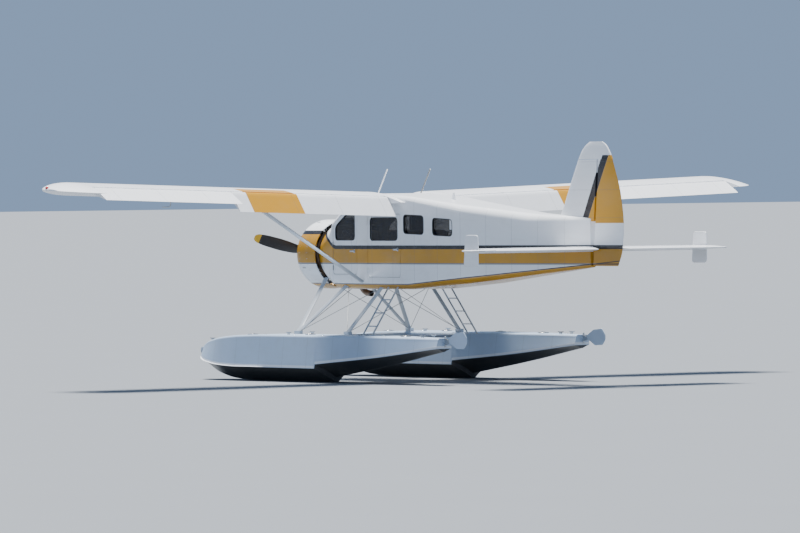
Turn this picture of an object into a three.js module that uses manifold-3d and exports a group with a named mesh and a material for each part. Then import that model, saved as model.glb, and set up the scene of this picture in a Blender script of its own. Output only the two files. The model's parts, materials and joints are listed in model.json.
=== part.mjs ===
// A single-engined, high-wing bush floatplane: strut-braced wing, nine-cylinder radial engine and twin floats.
// Every shape is drawn from three datums, in millimetres: station (distance aft of the propeller hub's front),
// y (port positive) and height above the thrust line. The group at the end lifts all of it onto its keels.
import * as THREE from "three";
import { mergeVertices } from "three/addons/utils/BufferGeometryUtils.js";
import Module from "manifold-3d";

const wasm = await Module();
wasm.setup();

// Driving dimensions
const wingSpan = 14630;
const wingChord = 1588;
const rudderTrailingStation = 9220;
const bowStation = -1100;
const thrustHeight = 2200; // of the propeller's axis above the floats' keels
const floatCentre = 1470; // from the aircraft's centreline to each float's
const seatGap = 0.3; // between two pieces that rest on each other
const runGap = 8; // between a moving surface and what carries it

const deg = Math.PI / 180;
const point = (station, y, height) => new THREE.Vector3(-station, y, height);

// Materials, one for each finish of the real machine
const finish = (color, roughness, metalness, opacity = 1) =>
  new THREE.MeshStandardMaterial({ color, roughness, metalness, opacity, transparent: opacity < 1 });
const white = finish(0xe4e7ea, 0.35, 0.1);
const gold = finish(0xc98a1f, 0.4, 0.1);
const silver = finish(0x9aa3ad, 0.45, 0.6);
const bareMetal = finish(0x8b8f94, 0.35, 0.9);
const darkMetal = finish(0x2a2b2d, 0.55, 0.7);
const clear = finish(0x1d2a33, 0.08, 0.0, 0.45);
const trimGrey = finish(0x6d7073, 0.8, 0.0);
const hide = finish(0x5a4a3c, 0.7, 0.0);

// A closed solid through rings of equal numbers of points, capped flat at both ends and faced outwards.
function loft(rings) {
  const count = rings[0].length;
  const positions = rings.flat().flatMap((p) => [p.x, p.y, p.z]);
  const index = [];
  for (let r = 0; r + 1 < rings.length; r++)
    for (let i = 0; i < count; i++) {
      const a = r * count + i;
      const b = r * count + ((i + 1) % count);
      index.push(a, b, b + count, a, b + count, a + count);
    }
  const capFaces = (ring) => {
    const normal = new THREE.Vector3();
    ring.forEach((p, i) => normal.add(p.clone().cross(ring[(i + 1) % count])));
    normal.normalize();
    const along = ring[0].clone().sub(ring[Math.floor(count / 2)]).normalize();
    const across = normal.clone().cross(along);
    const flat = ring.map((p) => new THREE.Vector2(p.dot(along), p.dot(across)));
    return THREE.ShapeUtils.triangulateShape(flat, []);
  };
  const last = (rings.length - 1) * count;
  for (const [a, b, c] of capFaces(rings[0])) index.push(c, b, a);
  for (const [a, b, c] of capFaces(rings[rings.length - 1])) index.push(last + a, last + b, last + c);
  const geometry = new THREE.BufferGeometry();
  geometry.setAttribute("position", new THREE.BufferAttribute(new Float32Array(positions), 3));
  geometry.setIndex(index);
  return facedOut(geometry);
}

function signedVolume(geometry) {
  const p = geometry.getAttribute("position");
  const [a, b, c] = [new THREE.Vector3(), new THREE.Vector3(), new THREE.Vector3()];
  let sum = 0;
  for (let i = 0; i < geometry.index.count; i += 3) {
    a.fromBufferAttribute(p, geometry.index.getX(i));
    b.fromBufferAttribute(p, geometry.index.getX(i + 1));
    c.fromBufferAttribute(p, geometry.index.getX(i + 2));
    sum += a.dot(b.cross(c)) / 6;
  }
  return sum;
}

function facedOut(geometry) {
  if (signedVolume(geometry) < 0) {
    const index = geometry.index.array;
    for (let i = 0; i < index.length; i += 3) [index[i], index[i + 1]] = [index[i + 1], index[i]];
  }
  return geometry;
}

// Booleans: a geometry becomes a solid, and a solid becomes a geometry again.
function solid(geometry) {
  const bare = geometry.clone();
  for (const name of Object.keys(bare.attributes)) if (name !== "position") bare.deleteAttribute(name);
  const merged = facedOut(mergeVertices(bare, 1e-3));
  return new wasm.Manifold(
    new wasm.Mesh({
      numProp: 3,
      vertProperties: new Float32Array(merged.getAttribute("position").array),
      triVerts: new Uint32Array(merged.index.array),
    }),
  );
}

function geometryOf(made) {
  const mesh = made.getMesh();
  const geometry = new THREE.BufferGeometry();
  geometry.setAttribute("position", new THREE.BufferAttribute(new Float32Array(mesh.vertProperties), 3));
  geometry.setIndex(new THREE.BufferAttribute(new Uint32Array(mesh.triVerts), 1));
  return geometry;
}

const join = (...solids) => solids.reduce((a, b) => a.add(b));
const cut = (from, ...tools) => tools.reduce((a, b) => a.subtract(b), from);
const mirrored = (made) => made.mirror([0, 1, 0]);

// A block between two corners given as stations, y and heights.
function block(station0, station1, y0, y1, height0, height1) {
  const box = new THREE.BoxGeometry(station1 - station0, y1 - y0, height1 - height0);
  box.translate(-(station0 + station1) / 2, (y0 + y1) / 2, (height0 + height1) / 2);
  return solid(box);
}

// A bar between two points, whose section is an ellipse with its long axis fore and aft.
function streamlineBar(from, to, chord, thickness, sides = 10) {
  const axis = to.clone().sub(from).normalize();
  const fore = new THREE.Vector3(1, 0, 0).addScaledVector(axis, -axis.x).normalize();
  const side = axis.clone().cross(fore);
  const ring = (centre) =>
    Array.from({ length: sides }, (_, i) => {
      const angle = (2 * Math.PI * i) / sides;
      return centre
        .clone()
        .addScaledVector(fore, (chord / 2) * Math.cos(angle))
        .addScaledVector(side, (thickness / 2) * Math.sin(angle));
    });
  return solid(loft([ring(from), ring(to)]));
}

// A solid of revolution about the thrust line. The profile's points are [station, radius].
function turned(profile, segments = 32) {
  const lathe = new THREE.LatheGeometry(
    profile.map(([station, radius]) => new THREE.Vector2(radius, -station)),
    segments,
  );
  lathe.rotateZ(-Math.PI / 2);
  return solid(lathe);
}

// A plate seen from the side: its outline in station and height, with rounded corners, extruded across y.
function sidePlate(outline, radius, y0, y1) {
  const shape = new THREE.Shape();
  const corners = outline.map(([station, height]) => new THREE.Vector2(-station, height));
  corners.forEach((corner, i) => {
    const before = corners[(i + corners.length - 1) % corners.length];
    const after = corners[(i + 1) % corners.length];
    const enter = corner.clone().add(before.clone().sub(corner).setLength(radius));
    const leave = corner.clone().add(after.clone().sub(corner).setLength(radius));
    if (i === 0) shape.moveTo(enter.x, enter.y);
    else shape.lineTo(enter.x, enter.y);
    if (radius > 0) shape.quadraticCurveTo(corner.x, corner.y, leave.x, leave.y);
  });
  const plate = new THREE.ExtrudeGeometry(shape, { depth: y1 - y0, bevelEnabled: false, curveSegments: 4 });
  plate.rotateX(Math.PI / 2);
  plate.translate(0, y1, 0);
  return solid(plate);
}

// An outline moved inwards (or outwards if by is negative) along its edges' normals.
function inset(outline, by) {
  const turn = Math.sign(
    outline.reduce((sum, [x, y], i) => {
      const [nx, ny] = outline[(i + 1) % outline.length];
      return sum + x * ny - nx * y;
    }, 0),
  );
  const edges = outline.map(([x, y], i) => {
    const [nx, ny] = outline[(i + 1) % outline.length];
    const length = Math.hypot(nx - x, ny - y);
    const normal = [(-turn * (ny - y)) / length, (turn * (nx - x)) / length];
    return { x: x + normal[0] * by, y: y + normal[1] * by, dx: nx - x, dy: ny - y };
  });
  return edges.map((edge, i) => {
    const before = edges[(i + edges.length - 1) % edges.length];
    const cross = before.dx * edge.dy - before.dy * edge.dx;
    const t = ((edge.x - before.x) * edge.dy - (edge.y - before.y) * edge.dx) / cross;
    return [before.x + before.dx * t, before.y + before.dy * t];
  });
}

// Fuselage: rounded rectangular sections.
// Columns: station, half width, top, bottom, top corner radius, bottom corner radius
const noseSections = [
  [1060, 500, 500, -500, 499, 499],
  [1250, 540, 548, -560, 420, 420],
  [1450, 560, 570, -592, 300, 300],
];
const cabinSections = [
  [1450, 560, 570, -592, 300, 300],
  [1560, 575, 625, -600, 150, 230],
  [2200, 608, 985, -605, 70, 170],
  [2500, 612, 1046, -605, 70, 160],
  [2950, 612, 1062, -605, 70, 150],
  [3840, 610, 1010, -600, 90, 150],
  [5300, 520, 850, -500, 140, 150],
];
const sternpostStation = 8380;
const tailSections = [
  [5300, 520, 850, -500, 140, 150],
  [6900, 295, 700, -355, 150, 120],
  [sternpostStation, 62, 622, -215, 58, 58],
];
const cornerSegments = 6;

function fuselageRing([station, halfWidth, top, bottom, topRadius, bottomRadius], grow = 0) {
  const corners = [
    [1, 1, topRadius],
    [-1, 1, topRadius],
    [-1, -1, bottomRadius],
    [1, -1, bottomRadius],
  ];
  return corners.flatMap(([sideY, sideZ, radius], corner) => {
    const r = Math.max(radius + grow, 2);
    const y = sideY * (halfWidth + grow - r);
    const height = sideZ > 0 ? top + grow - r : bottom - grow + r;
    return Array.from({ length: cornerSegments + 1 }, (_, i) => {
      const angle = (corner + i / cornerSegments) * 90 * deg;
      return point(station, y + r * Math.cos(angle), height + r * Math.sin(angle));
    });
  });
}

// The body through a table of sections, each grown by the same amount, with its ends moved outwards by overrun.
function fuselageBody(sections, grow = 0, overrun = 0) {
  const rings = sections.map((row) => fuselageRing(row, grow));
  if (overrun > 0) {
    const [first, last] = [sections[0], sections[sections.length - 1]];
    rings.unshift(fuselageRing([first[0] - overrun, ...first.slice(1)], grow));
    rings.push(fuselageRing([last[0] + overrun, ...last.slice(1)], grow));
  }
  return solid(loft(rings));
}

const cabinWall = 35;
const cabinStart = cabinSections[0][0];
const cabinEnd = cabinSections[cabinSections.length - 1][0];
const cabinShell = cut(fuselageBody(cabinSections), fuselageBody(cabinSections, -cabinWall, 20));
const glassSkin = cut(fuselageBody(cabinSections, -10), fuselageBody(cabinSections, -18, 20));
const innerGlassSkin = cut(
  fuselageBody(cabinSections, -cabinWall - seatGap),
  fuselageBody(cabinSections, -cabinWall - 7, 20),
);
const fuselageSurround = join(
  fuselageBody([...noseSections, ...cabinSections.slice(1)], seatGap),
  fuselageBody(tailSections, seatGap, seatGap),
);

// Openings in the cabin's sides: outlines in station and height
const crewDoor = [
  [1610, -340],
  [2360, -340],
  [2360, 790],
  [2060, 790],
  [1610, 530],
];
const crewWindow = [
  [1680, 255],
  [2300, 255],
  [2300, 728],
  [2085, 728],
  [1680, 492],
];
const cabinDoor = [
  [2700, -388],
  [3660, -388],
  [3660, 700],
  [2700, 700],
];
const cabinDoorWindow = [
  [2775, 250],
  [3580, 250],
  [3580, 640],
  [2775, 640],
];
const sideWindows = [
  [
    [3770, 370],
    [4310, 350],
    [4310, 670],
    [3770, 690],
  ],
  [
    [4560, 340],
    [5080, 320],
    [5080, 600],
    [4560, 630],
  ],
];
const windowCorner = 70;
const doorCorner = 50;
const doorGap = 7;
const hingeRadius = 11;
const sideReach = 720; // past the fuselage's widest place

const bothSides = (outline, radius) => sidePlate(outline, radius, -sideReach, sideReach);
const portSide = (outline, radius) => sidePlate(outline, radius, 200, sideReach);

// The windscreen's opening: two panes in the sloping front, either side of a centre post
const screenBottomStation = 1590;
const screenTopStation = 2150;
const screenHalfWidth = 500;
const screenPost = 22;
const screenOpening = (clearance) =>
  block(
    screenBottomStation + clearance,
    screenTopStation - clearance,
    screenPost + clearance,
    screenHalfWidth - clearance,
    450,
    1100,
  );

const bellyTop = -430;
const roofInside = 505; // half width of the roof's skin between the two walls
const screenEnd = 2180;
const doorCuts = join(
  bothSides(inset(crewDoor, -doorGap), doorCorner),
  bothSides(inset(cabinDoor, -doorGap), doorCorner),
);
const windowCuts = join(...sideWindows.map((outline) => bothSides(outline, windowCorner)));

const cabinBelly = cabinShell.intersect(block(cabinStart, cabinEnd, -700, 700, -700, bellyTop));
const topSkin = cabinShell.intersect(block(cabinStart, cabinEnd, -roofInside, roofInside, 430, 1200));
const aerial = (y) => {
  const foot = point(2790, y, 1030);
  return streamlineBar(foot, point(3095, y, 1480), 34, 14, 8);
};
const bladeAerial = sidePlate(
  [
    [4350, 935],
    [4460, 935],
    [4440, 1065],
    [4400, 1065],
  ],
  0,
  -5,
  5,
);
const roof = join(
  topSkin.intersect(block(screenEnd, cabinEnd, -700, 700, 400, 1200)),
  ...[-460, 460].map(aerial),
  bladeAerial,
);
const screenFrame = cut(
  topSkin.intersect(block(cabinStart, screenEnd - seatGap, -700, 700, 400, 1200)),
  screenOpening(0),
  mirrored(screenOpening(0)),
);
const sideWall = cut(
  cabinShell.intersect(block(cabinStart, cabinEnd, 0, 700, bellyTop + seatGap, 1200)),
  block(cabinStart - 10, cabinEnd + 10, -700, roofInside + seatGap, 430 - seatGap, 1200),
  doorCuts,
  windowCuts,
);
const screenPanes = (() => {
  const pane = glassSkin.intersect(screenOpening(seatGap));
  const strip = innerGlassSkin.intersect(
    block(screenBottomStation + 40, screenTopStation - 40, -screenPost - 30, screenPost + 30, 450, 1100),
  );
  const edge = glassSkin.intersect(
    block(screenBottomStation + 40, screenTopStation - 40, -screenPost - 30, screenPost + 30, 450, 1100),
  );
  return { pane, strip, edge };
})();

// Half of the fuselage's width at a station in the cabin
function wallHalfWidth(station) {
  const next = cabinSections.findIndex((row) => row[0] >= station);
  const [a, b] = [cabinSections[next - 1], cabinSections[next]];
  return a[1] + ((b[1] - a[1]) * (station - a[0])) / (b[0] - a[0]);
}

// Doors: a slab as thick as the wall, its window cut, and two hinge barrels along its front edge
function hingedDoor(outline, window, hingeHeights, handleHeight) {
  const slab = cabinShell.intersect(portSide(outline, doorCorner));
  const framed = cut(slab, portSide(window, windowCorner));
  const barrels = hingeHeights.map((height) => {
    const barrel = new THREE.CylinderGeometry(hingeRadius, hingeRadius, 90, 12);
    barrel.rotateX(Math.PI / 2);
    barrel.translate(-doorHingeStation(outline), doorHingeY(outline), height);
    return solid(barrel);
  });
  const leaves = hingeHeights.map((height) => {
    const station = doorHingeStation(outline);
    const y = doorHingeY(outline);
    return block(station, station + 50, y - hingeRadius - 14, y - hingeRadius + 6, height - 40, height + 40);
  });
  return join(framed, ...leaves, ...barrels, ...doorHandle(outline, handleHeight));
}
// A lever on a post, near the door's rear edge
function doorHandle(outline, height) {
  const station = outline[1][0] - 72;
  const y = wallHalfWidth(station);
  return [
    block(station - 10, station + 10, y - 8, y + 14, height - 10, height + 10),
    block(station - 105, station + 12, y + 12, y + 24, height - 9, height + 9),
  ];
}
const doorHingeStation = (outline) => outline[0][0] - doorGap / 2;
// The barrels roll on the wall's edge, half the door's gap ahead of their axis
const hingeStandOff = Math.sqrt((hingeRadius + seatGap) ** 2 - (doorGap / 2) ** 2);
const doorHingeY = (outline) => wallHalfWidth(outline[0][0] - doorGap) + hingeStandOff;
const crewDoorSlab = hingedDoor(crewDoor, crewWindow, [-230, 180], 60);
const cabinDoorSlab = hingedDoor(cabinDoor, cabinDoorWindow, [-280, 560], 90);
const crewPane = glassSkin.intersect(portSide(inset(crewWindow, seatGap), windowCorner - seatGap));
const cabinDoorPane = glassSkin.intersect(portSide(inset(cabinDoorWindow, seatGap), windowCorner - seatGap));
const sidePane = innerGlassSkin.intersect(
  portSide(
    [
      [3720, 320],
      [5130, 270],
      [5130, 650],
      [3720, 740],
    ],
    windowCorner,
  ),
);

// Inside the cabin
const floorThickness = 28;
const floorTop = bellyTop + floorThickness;
const cabinInside = fuselageBody(cabinSections, -cabinWall - seatGap, 20);
const cabinFloor = cabinInside.intersect(
  block(cabinStart + 20, 5240, -700, 700, bellyTop + seatGap, floorTop),
);
const rearBulkhead = cabinInside.intersect(block(5262, cabinEnd - 2, -700, 700, -700, 1000));

// A seat: cushion, back and pedestal in one, standing on the floor
function seat(station, y, width) {
  const base = floorTop + seatGap;
  const backLean = 70;
  const back = [
    [station + 400, base + 330],
    [station + 480, base + 330],
    [station + 480 + backLean, base + 860],
    [station + 400 + backLean, base + 860],
  ];
  return join(
    block(station + 80, station + 420, y - width / 2 + 60, y + width / 2 - 60, base, base + 260),
    block(station, station + 470, y - width / 2, y + width / 2, base + 250, base + 360),
    sidePlate(back, 20, y - width / 2, y + width / 2),
  );
}

const instrumentPanel = (() => {
  const coaming = [
    [cabinStart, 150],
    [1600, 150],
    [1600, 500],
    [cabinStart, 520],
  ];
  return fuselageBody(cabinSections, -cabinWall - 8).intersect(sidePlate(coaming, 15, -480, 480));
})();
const controlColumn = (() => {
  const post = streamlineBar(point(1700, 0, floorTop + seatGap), point(1700, 0, 120), 50, 50, 10);
  const arm = streamlineBar(point(1700, -10, 100), point(1700, 320, 130), 40, 40, 8);
  const wheel = new THREE.TorusGeometry(120, 14, 6, 16);
  wheel.rotateY(Math.PI / 2);
  wheel.translate(-1730, 300, 140);
  const hub = block(1690, 1740, 180, 420, 128, 152);
  return join(post, arm, solid(wheel), hub);
})();

// Wing: a cambered section of the four-digit formula, straight in plan, with rounded tips
const wingLeadingStation = 2250;
const wingRootHeight = 930; // of the section's pivot, at the centreline
const wingPivot = 0.3;
const wingIncidence = 2.5 * deg;
const wingDihedral = 2 * deg;
const wingThickness = 0.14;
const wingCamber = 0.02;
const hingeFraction = 0.74;
const surfaceStart = 720;
const flapEnd = 3990;
const surfaceEnd = 6760;
const tipStart = 6800;
const flapSetting = 38 * deg; // the flaps hang at their take-off setting
const aileronSetting = 16 * deg; // and the ailerons droop with them

function sectionPoint(fraction, side, chord, thickness = wingThickness) {
  const x = fraction;
  const half =
    5 * thickness * (0.2969 * Math.sqrt(x) - 0.126 * x - 0.3516 * x ** 2 + 0.2843 * x ** 3 - 0.1036 * x ** 4);
  const peak = 0.4;
  const camber = wingCamber * (x < peak ? (2 * peak * x - x * x) / peak ** 2
    : (1 - 2 * peak + 2 * peak * x - x * x) / (1 - peak) ** 2);
  return [x * chord, (camber + side * half) * chord];
}

// Turns a section's own point into the aircraft's, at distance y from the centreline.
function wingPlace([aft, up], y, chord, leadingShift = 0) {
  const x = aft + leadingShift - wingPivot * wingChord;
  const cosine = Math.cos(wingIncidence);
  const sine = Math.sin(wingIncidence);
  const station = wingLeadingStation + wingPivot * wingChord + x * cosine + up * sine;
  const height = wingRootHeight + up * cosine - x * sine + y * Math.tan(wingDihedral);
  return point(station, y, height);
}

function wingRing(y, chord, leadingShift, thickness = wingThickness) {
  const steps = 9;
  const fractions = Array.from({ length: steps + 1 }, (_, i) => (1 - Math.cos((Math.PI * i) / steps)) / 2);
  const upper = fractions.slice().reverse().map((f) => sectionPoint(Math.min(f, 0.997), 1, chord, thickness));
  const lower = fractions.slice(1).map((f) => sectionPoint(Math.min(f, 0.997), -1, chord, thickness));
  return [...upper, ...lower].map((p) => wingPlace(p, y, chord, leadingShift));
}

const tipLength = wingSpan / 2 - tipStart;
// How the tip closes: share of the tip's length, share of the chord left
const tipTable = [0, 0.45, 0.75, 0.93, 1].map((t) => [t, Math.max(0.2, Math.sqrt(1 - 0.94 * t * t))]);
function wingBody(rootY) {
  const rings = [wingRing(rootY, wingChord, 0)];
  for (const [share, left] of tipTable) {
    const chord = wingChord * left;
    const thickness = wingThickness * (0.35 + 0.65 * left);
    rings.push(wingRing(tipStart + share * tipLength, chord, (wingChord - chord) * 0.45, thickness));
  }
  return solid(loft(rings));
}

const [hingeUpper, hingeLower] = [1, -1].map((side) => sectionPoint(hingeFraction, side, wingChord)[1]);
const hingeHalfThickness = hingeUpper - hingeLower;
const hingeRadiusWing = hingeHalfThickness / 2 - 1;
const hingeLocal = [hingeFraction * wingChord, (hingeUpper + hingeLower) / 2];

// A flap or aileron: a round nose about the hinge, tapering to the wing's trailing edge
function trailingSurface(y0, y1, setting) {
  const tail = (side) => sectionPoint(0.997, side, wingChord);
  const noseSteps = 12;
  const nose = Array.from({ length: noseSteps + 1 }, (_, i) => {
    const angle = (90 + (180 * i) / noseSteps) * deg;
    return [
      hingeLocal[0] + hingeRadiusWing * Math.cos(angle),
      hingeLocal[1] + hingeRadiusWing * Math.sin(angle),
    ];
  });
  const outline = [...nose, tail(-1), tail(1)].map(([aft, up]) => {
    const dx = aft - hingeLocal[0];
    const dz = up - hingeLocal[1];
    return [
      hingeLocal[0] + dx * Math.cos(setting) + dz * Math.sin(setting),
      hingeLocal[1] + dz * Math.cos(setting) - dx * Math.sin(setting),
    ];
  });
  return solid(loft([y0, y1].map((y) => outline.map((p) => wingPlace(p, y, wingChord)))));
}

const surfaceBay = (() => {
  const front = wingPlace([hingeLocal[0] - hingeRadiusWing - runGap, 0], 0, wingChord);
  return block(-front.x, -front.x + 900, surfaceStart - runGap, surfaceEnd + runGap, 500, 1500);
})();
// Hinge brackets stand on the wing's rear face and reach the surfaces' noses
const bracketStations = [900, 2300, 3800, 4200, 5400, 6600];
function hingeBracket(y) {
  const reach = (dx, dz) => wingPlace([hingeLocal[0] + dx, hingeLocal[1] + dz], y, wingChord);
  const front = reach(-hingeRadiusWing - runGap - 6, 0);
  const back = reach(-hingeRadiusWing - seatGap, 0);
  return block(-front.x, -back.x, y - 12, y + 12, front.z - 15, front.z + 15);
}
const portWingFull = wingBody(560);
// A landing lamp's lens in the leading edge
const lampY = 5150;
const landingLamp = (() => {
  const lens = new THREE.SphereGeometry(62, 14, 10);
  lens.scale(0.5, 1, 1);
  const at = wingPlace([14, 6], lampY, wingChord);
  lens.translate(at.x, at.y, at.z);
  return solid(lens);
})();
const portWing = join(
  cut(portWingFull, fuselageSurround, surfaceBay),
  ...bracketStations.map(hingeBracket),
  landingLamp,
);
const portFlap = trailingSurface(surfaceStart + 8, flapEnd - runGap / 2, flapSetting);
const portAileron = trailingSurface(flapEnd + runGap / 2, surfaceEnd, aileronSetting);

// Wing strut
const strutFoot = point(2500, 560, -500);
const strutHead = point(2760, 3150, 960);
const wingStrut = cut(
  streamlineBar(strutFoot, strutHead, 135, 48),
  fuselageSurround,
  portWingFull.translate([0, 0, -seatGap]),
  block(2000, 3600, 2500, 3600, 985, 1200),
);

// Engine, cowl and propeller
const cowlOuter = 610;
const cowlInner = 590;
const cowlFront = 380;
const cowlBack = 1045;
const cowlProfile = [
  [cowlFront + 18, 425],
  [cowlFront, 445],
  [cowlFront + 12, 480],
  [cowlFront + 60, 545],
  [cowlFront + 130, 590],
  [cowlFront + 220, cowlOuter],
  [cowlFront + 430, cowlOuter],
  [cowlBack, 588],
  [cowlBack, 576],
  [cowlFront + 430, cowlInner],
  [cowlFront + 220, cowlInner],
  [cowlFront + 130, 570],
  [cowlFront + 60, 515],
  [cowlFront + 18, 425],
];
const cowlSides = 48;
const cowl = turned(cowlProfile, cowlSides);
const engineStation = 700;
const cylinderCount = 9;
const firstCylinder = 90; // degrees up from port, so that one cylinder stands upright
// Cooling fins, columns: first and last radius from the thrust line, root, rim, pitch
const barrelFins = [240, 396, 68, 80, 39];
const headFins = [404, 560, 74, 94, 39];
const rockerAside = 52;
function finnedCylinder() {
  const fins = ([first, last, root, rim, pitch]) =>
    Array.from({ length: Math.floor((last - first) / pitch) }, (_, i) => [
      new THREE.Vector2(root, first + i * pitch),
      new THREE.Vector2(rim - (first > 400 ? i * 3 : 0), first + (i + 0.5) * pitch),
    ]).flat();
  const profile = [
    new THREE.Vector2(0, 200),
    new THREE.Vector2(78, 200),
    ...fins(barrelFins),
    new THREE.Vector2(70, 398),
    ...fins(headFins),
    new THREE.Vector2(62, 562),
    new THREE.Vector2(44, 578),
    new THREE.Vector2(0, 578),
  ];
  const barrel = solid(new THREE.LatheGeometry(profile, 8));
  const rockers = [-1, 1].flatMap((side) => {
    const box = new THREE.BoxGeometry(130, 52, 46);
    box.translate(22, 544, side * rockerAside);
    const foot = new THREE.Vector3(164, 236, side * rockerAside * 0.4);
    const head = new THREE.Vector3(66, 540, side * rockerAside);
    return [solid(box), streamlineBar(foot, head, 19, 19, 5)];
  });
  return join(barrel, ...rockers);
}
const engine = (() => {
  const crankcase = turned([
    [331, 0],
    [331, 85],
    [400, 110],
    [470, 190],
    [530, 250],
    [600, 262],
    [800, 262],
    [840, 250],
    [880, 190],
    [noseSections[0][0] - seatGap, 190],
    [noseSections[0][0] - seatGap, 0],
  ], 24);
  const placed = (made, i) =>
    made.rotate([firstCylinder + (i * 360) / cylinderCount, 0, 0]).translate([-engineStation, 0, 0]);
  // The cowl is carried by a pad on every cylinder's head
  const insideCowl = turned([
    [engineStation - 50, 0],
    [engineStation - 50, cowlInner - seatGap],
    [engineStation + 50, cowlInner - seatGap],
    [engineStation + 50, 0],
  ], cowlSides);
  const pad = new THREE.BoxGeometry(50, 50, 44);
  pad.translate(0, cowlInner - 15, 0);
  const cylinders = Array.from({ length: cylinderCount }, (_, i) =>
    join(placed(finnedCylinder(), i), placed(solid(pad), i).intersect(insideCowl)),
  );
  return join(crankcase, ...cylinders);
})();

const propellerRadius = 1295;
const propellerStation = 150;
const propellerRest = 14; // degrees that the port blade stands above level
// Columns: radius, chord, thickness, pitch in degrees
const bladeSections = [
  [70, 90, 86, 50],
  [230, 120, 70, 44],
  [420, 190, 40, 36],
  [700, 215, 24, 28],
  [1000, 200, 16, 22],
  [1200, 160, 11, 19],
  [propellerRadius, 70, 7, 18],
];
function propellerBlade() {
  const sides = 10;
  return solid(
    loft(
      bladeSections.map(([radius, chord, thickness, pitch]) =>
        Array.from({ length: sides }, (_, i) => {
          const angle = (2 * Math.PI * i) / sides;
          const u = (chord / 2) * Math.cos(angle);
          const v = (thickness / 2) * Math.sin(angle);
          const p = pitch * deg;
          return point(propellerStation + u * Math.sin(p) + v * Math.cos(p), radius, u * Math.cos(p) - v * Math.sin(p));
        }),
      ),
    ),
  );
}
const propeller = (() => {
  const hub = turned([
    [0, 0],
    [4, 40],
    [30, 72],
    [70, 80],
    [80, 105],
    [220, 105],
    [235, 70],
    [331 - seatGap, 70],
    [331 - seatGap, 0],
  ], 20);
  const blade = propellerBlade();
  return join(hub, blade, blade.rotate([180, 0, 0])).rotate([propellerRest, 0, 0]);
})();

const exhaustPipe = (() => {
  const path = new THREE.CatmullRomCurve3([
    point(1230, -250, -430),
    point(1240, -300, -600),
    point(1330, -320, -680),
    point(1480, -325, -700),
  ]);
  const section = new THREE.Shape().absarc(0, 0, 55, 0, 2 * Math.PI);
  const pipe = new THREE.ExtrudeGeometry(section, { steps: 10, extrudePath: path, curveSegments: 6 });
  return cut(solid(pipe), fuselageSurround);
})();

// Tail surfaces: lofts of lens-shaped sections, cut square at the hinge
const rudderHingeFoot = [8424, -200];
const rudderHingeHead = [8600, 1640];
const hingeAt = (height) =>
  rudderHingeFoot[0] +
  ((rudderHingeHead[0] - rudderHingeFoot[0]) * (height - rudderHingeFoot[1])) / (rudderHingeHead[1] - rudderHingeFoot[1]);
const rudderNose = 34;

// Fin, columns: height, leading edge's station, half thickness
const finSections = [
  [560, 7380, 52],
  [700, 7500, 50],
  [1150, 7745, 46],
  [1598, 7990, 40],
];
function lens(leading, trailing, half, place, trailingHalf) {
  const steps = 5;
  const side = (sign) =>
    Array.from({ length: steps + 1 }, (_, i) => {
      const t = 1 - Math.cos((Math.PI * i) / steps / 2);
      const body = Math.sqrt(Math.max(0, 1 - (1 - t) ** 2));
      const offset = half * body * (1 - t) + trailingHalf * t + half * 0.25 * body * t;
      return [leading + t * (trailing - leading), sign * offset];
    });
  const upper = side(1);
  const lower = side(-1).reverse();
  return [...upper, ...lower.slice(0, -1)].map(([station, offset]) => place(station, offset));
}
const fin = cut(
  solid(
    loft(
      finSections.map(([height, leading, half]) =>
        lens(
          leading,
          hingeAt(height) - rudderNose - runGap,
          half,
          (station, y) => point(station, y, height),
          rudderNose,
        ),
      ),
    ),
  ),
  fuselageSurround,
);

// Rudder, columns: height, trailing edge's station
const rudderSections = [
  [-190, 9060],
  [80, 9180],
  [500, rudderTrailingStation],
  [1000, 9150],
  [1604, 8930],
];
// The balance horn above the fin: height, leading edge, trailing edge, half thickness
const hornSections = [
  [1604, 7992, 8930, 40],
  [1720, 8070, 8860, 36],
  [1840, 8200, 8760, 26],
  [1900, 8320, 8650, 12],
];
function taperRing(hinge, trailing, nose, place) {
  const steps = 12;
  const front = Array.from({ length: steps + 1 }, (_, i) => {
    const angle = (90 + (180 * i) / steps) * deg;
    return [hinge + nose * Math.cos(angle), nose * Math.sin(angle)];
  });
  return [...front, [trailing, -4], [trailing, 4]].map(([station, offset]) => place(station, offset));
}
const rudder = join(
  solid(
    loft(
      rudderSections.map(([height, trailing]) =>
        taperRing(hingeAt(height), trailing, rudderNose, (station, y) => point(station, y, height)),
      ),
    ),
  ),
  solid(
    loft(
      hornSections.map(([height, leading, trailing, half]) =>
        lens(leading, trailing, half, (station, y) => point(station, y, height), 4),
      ),
    ),
  ),
);

// Stabilizer and elevators
const tailplaneHalfSpan = 2480;
const tailplaneHeight = 95;
const elevatorHinge = 8440;
const elevatorNose = 32;
const hornStart = 2428;
// Stabilizer, columns: y, leading edge's station, half thickness
const stabilizerSections = [
  [20, 7660, 46],
  [1200, 7810, 42],
  [hornStart - runGap, 7940, 34],
];
const finletY = 2410;
const finlet = sidePlate(
  [
    [7985, tailplaneHeight - 265],
    [8392, tailplaneHeight - 265],
    [8392, tailplaneHeight + 265],
    [8040, tailplaneHeight + 265],
  ],
  60,
  finletY - 9,
  finletY + 9,
);
const stabilizerRear = elevatorHinge - elevatorNose - runGap;
const onTailplane = (y) => (station, offset) => point(station, y, tailplaneHeight + offset);
const bracketYs = [260, 1150, 2280];
const elevatorBracket = (y) => {
  const [rear, middle] = [elevatorHinge - elevatorNose - seatGap, tailplaneHeight];
  return block(stabilizerRear - 4, rear, y - 12, y + 12, middle - 14, middle + 14);
};
const portStabilizer = join(
  cut(
    solid(
      loft(
        stabilizerSections.map(([y, leading, half]) =>
          lens(leading, stabilizerRear, half, onTailplane(y), elevatorNose),
        ),
      ),
    ),
    fuselageSurround,
  ),
  finlet,
  ...bracketYs.map(elevatorBracket),
);
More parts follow.
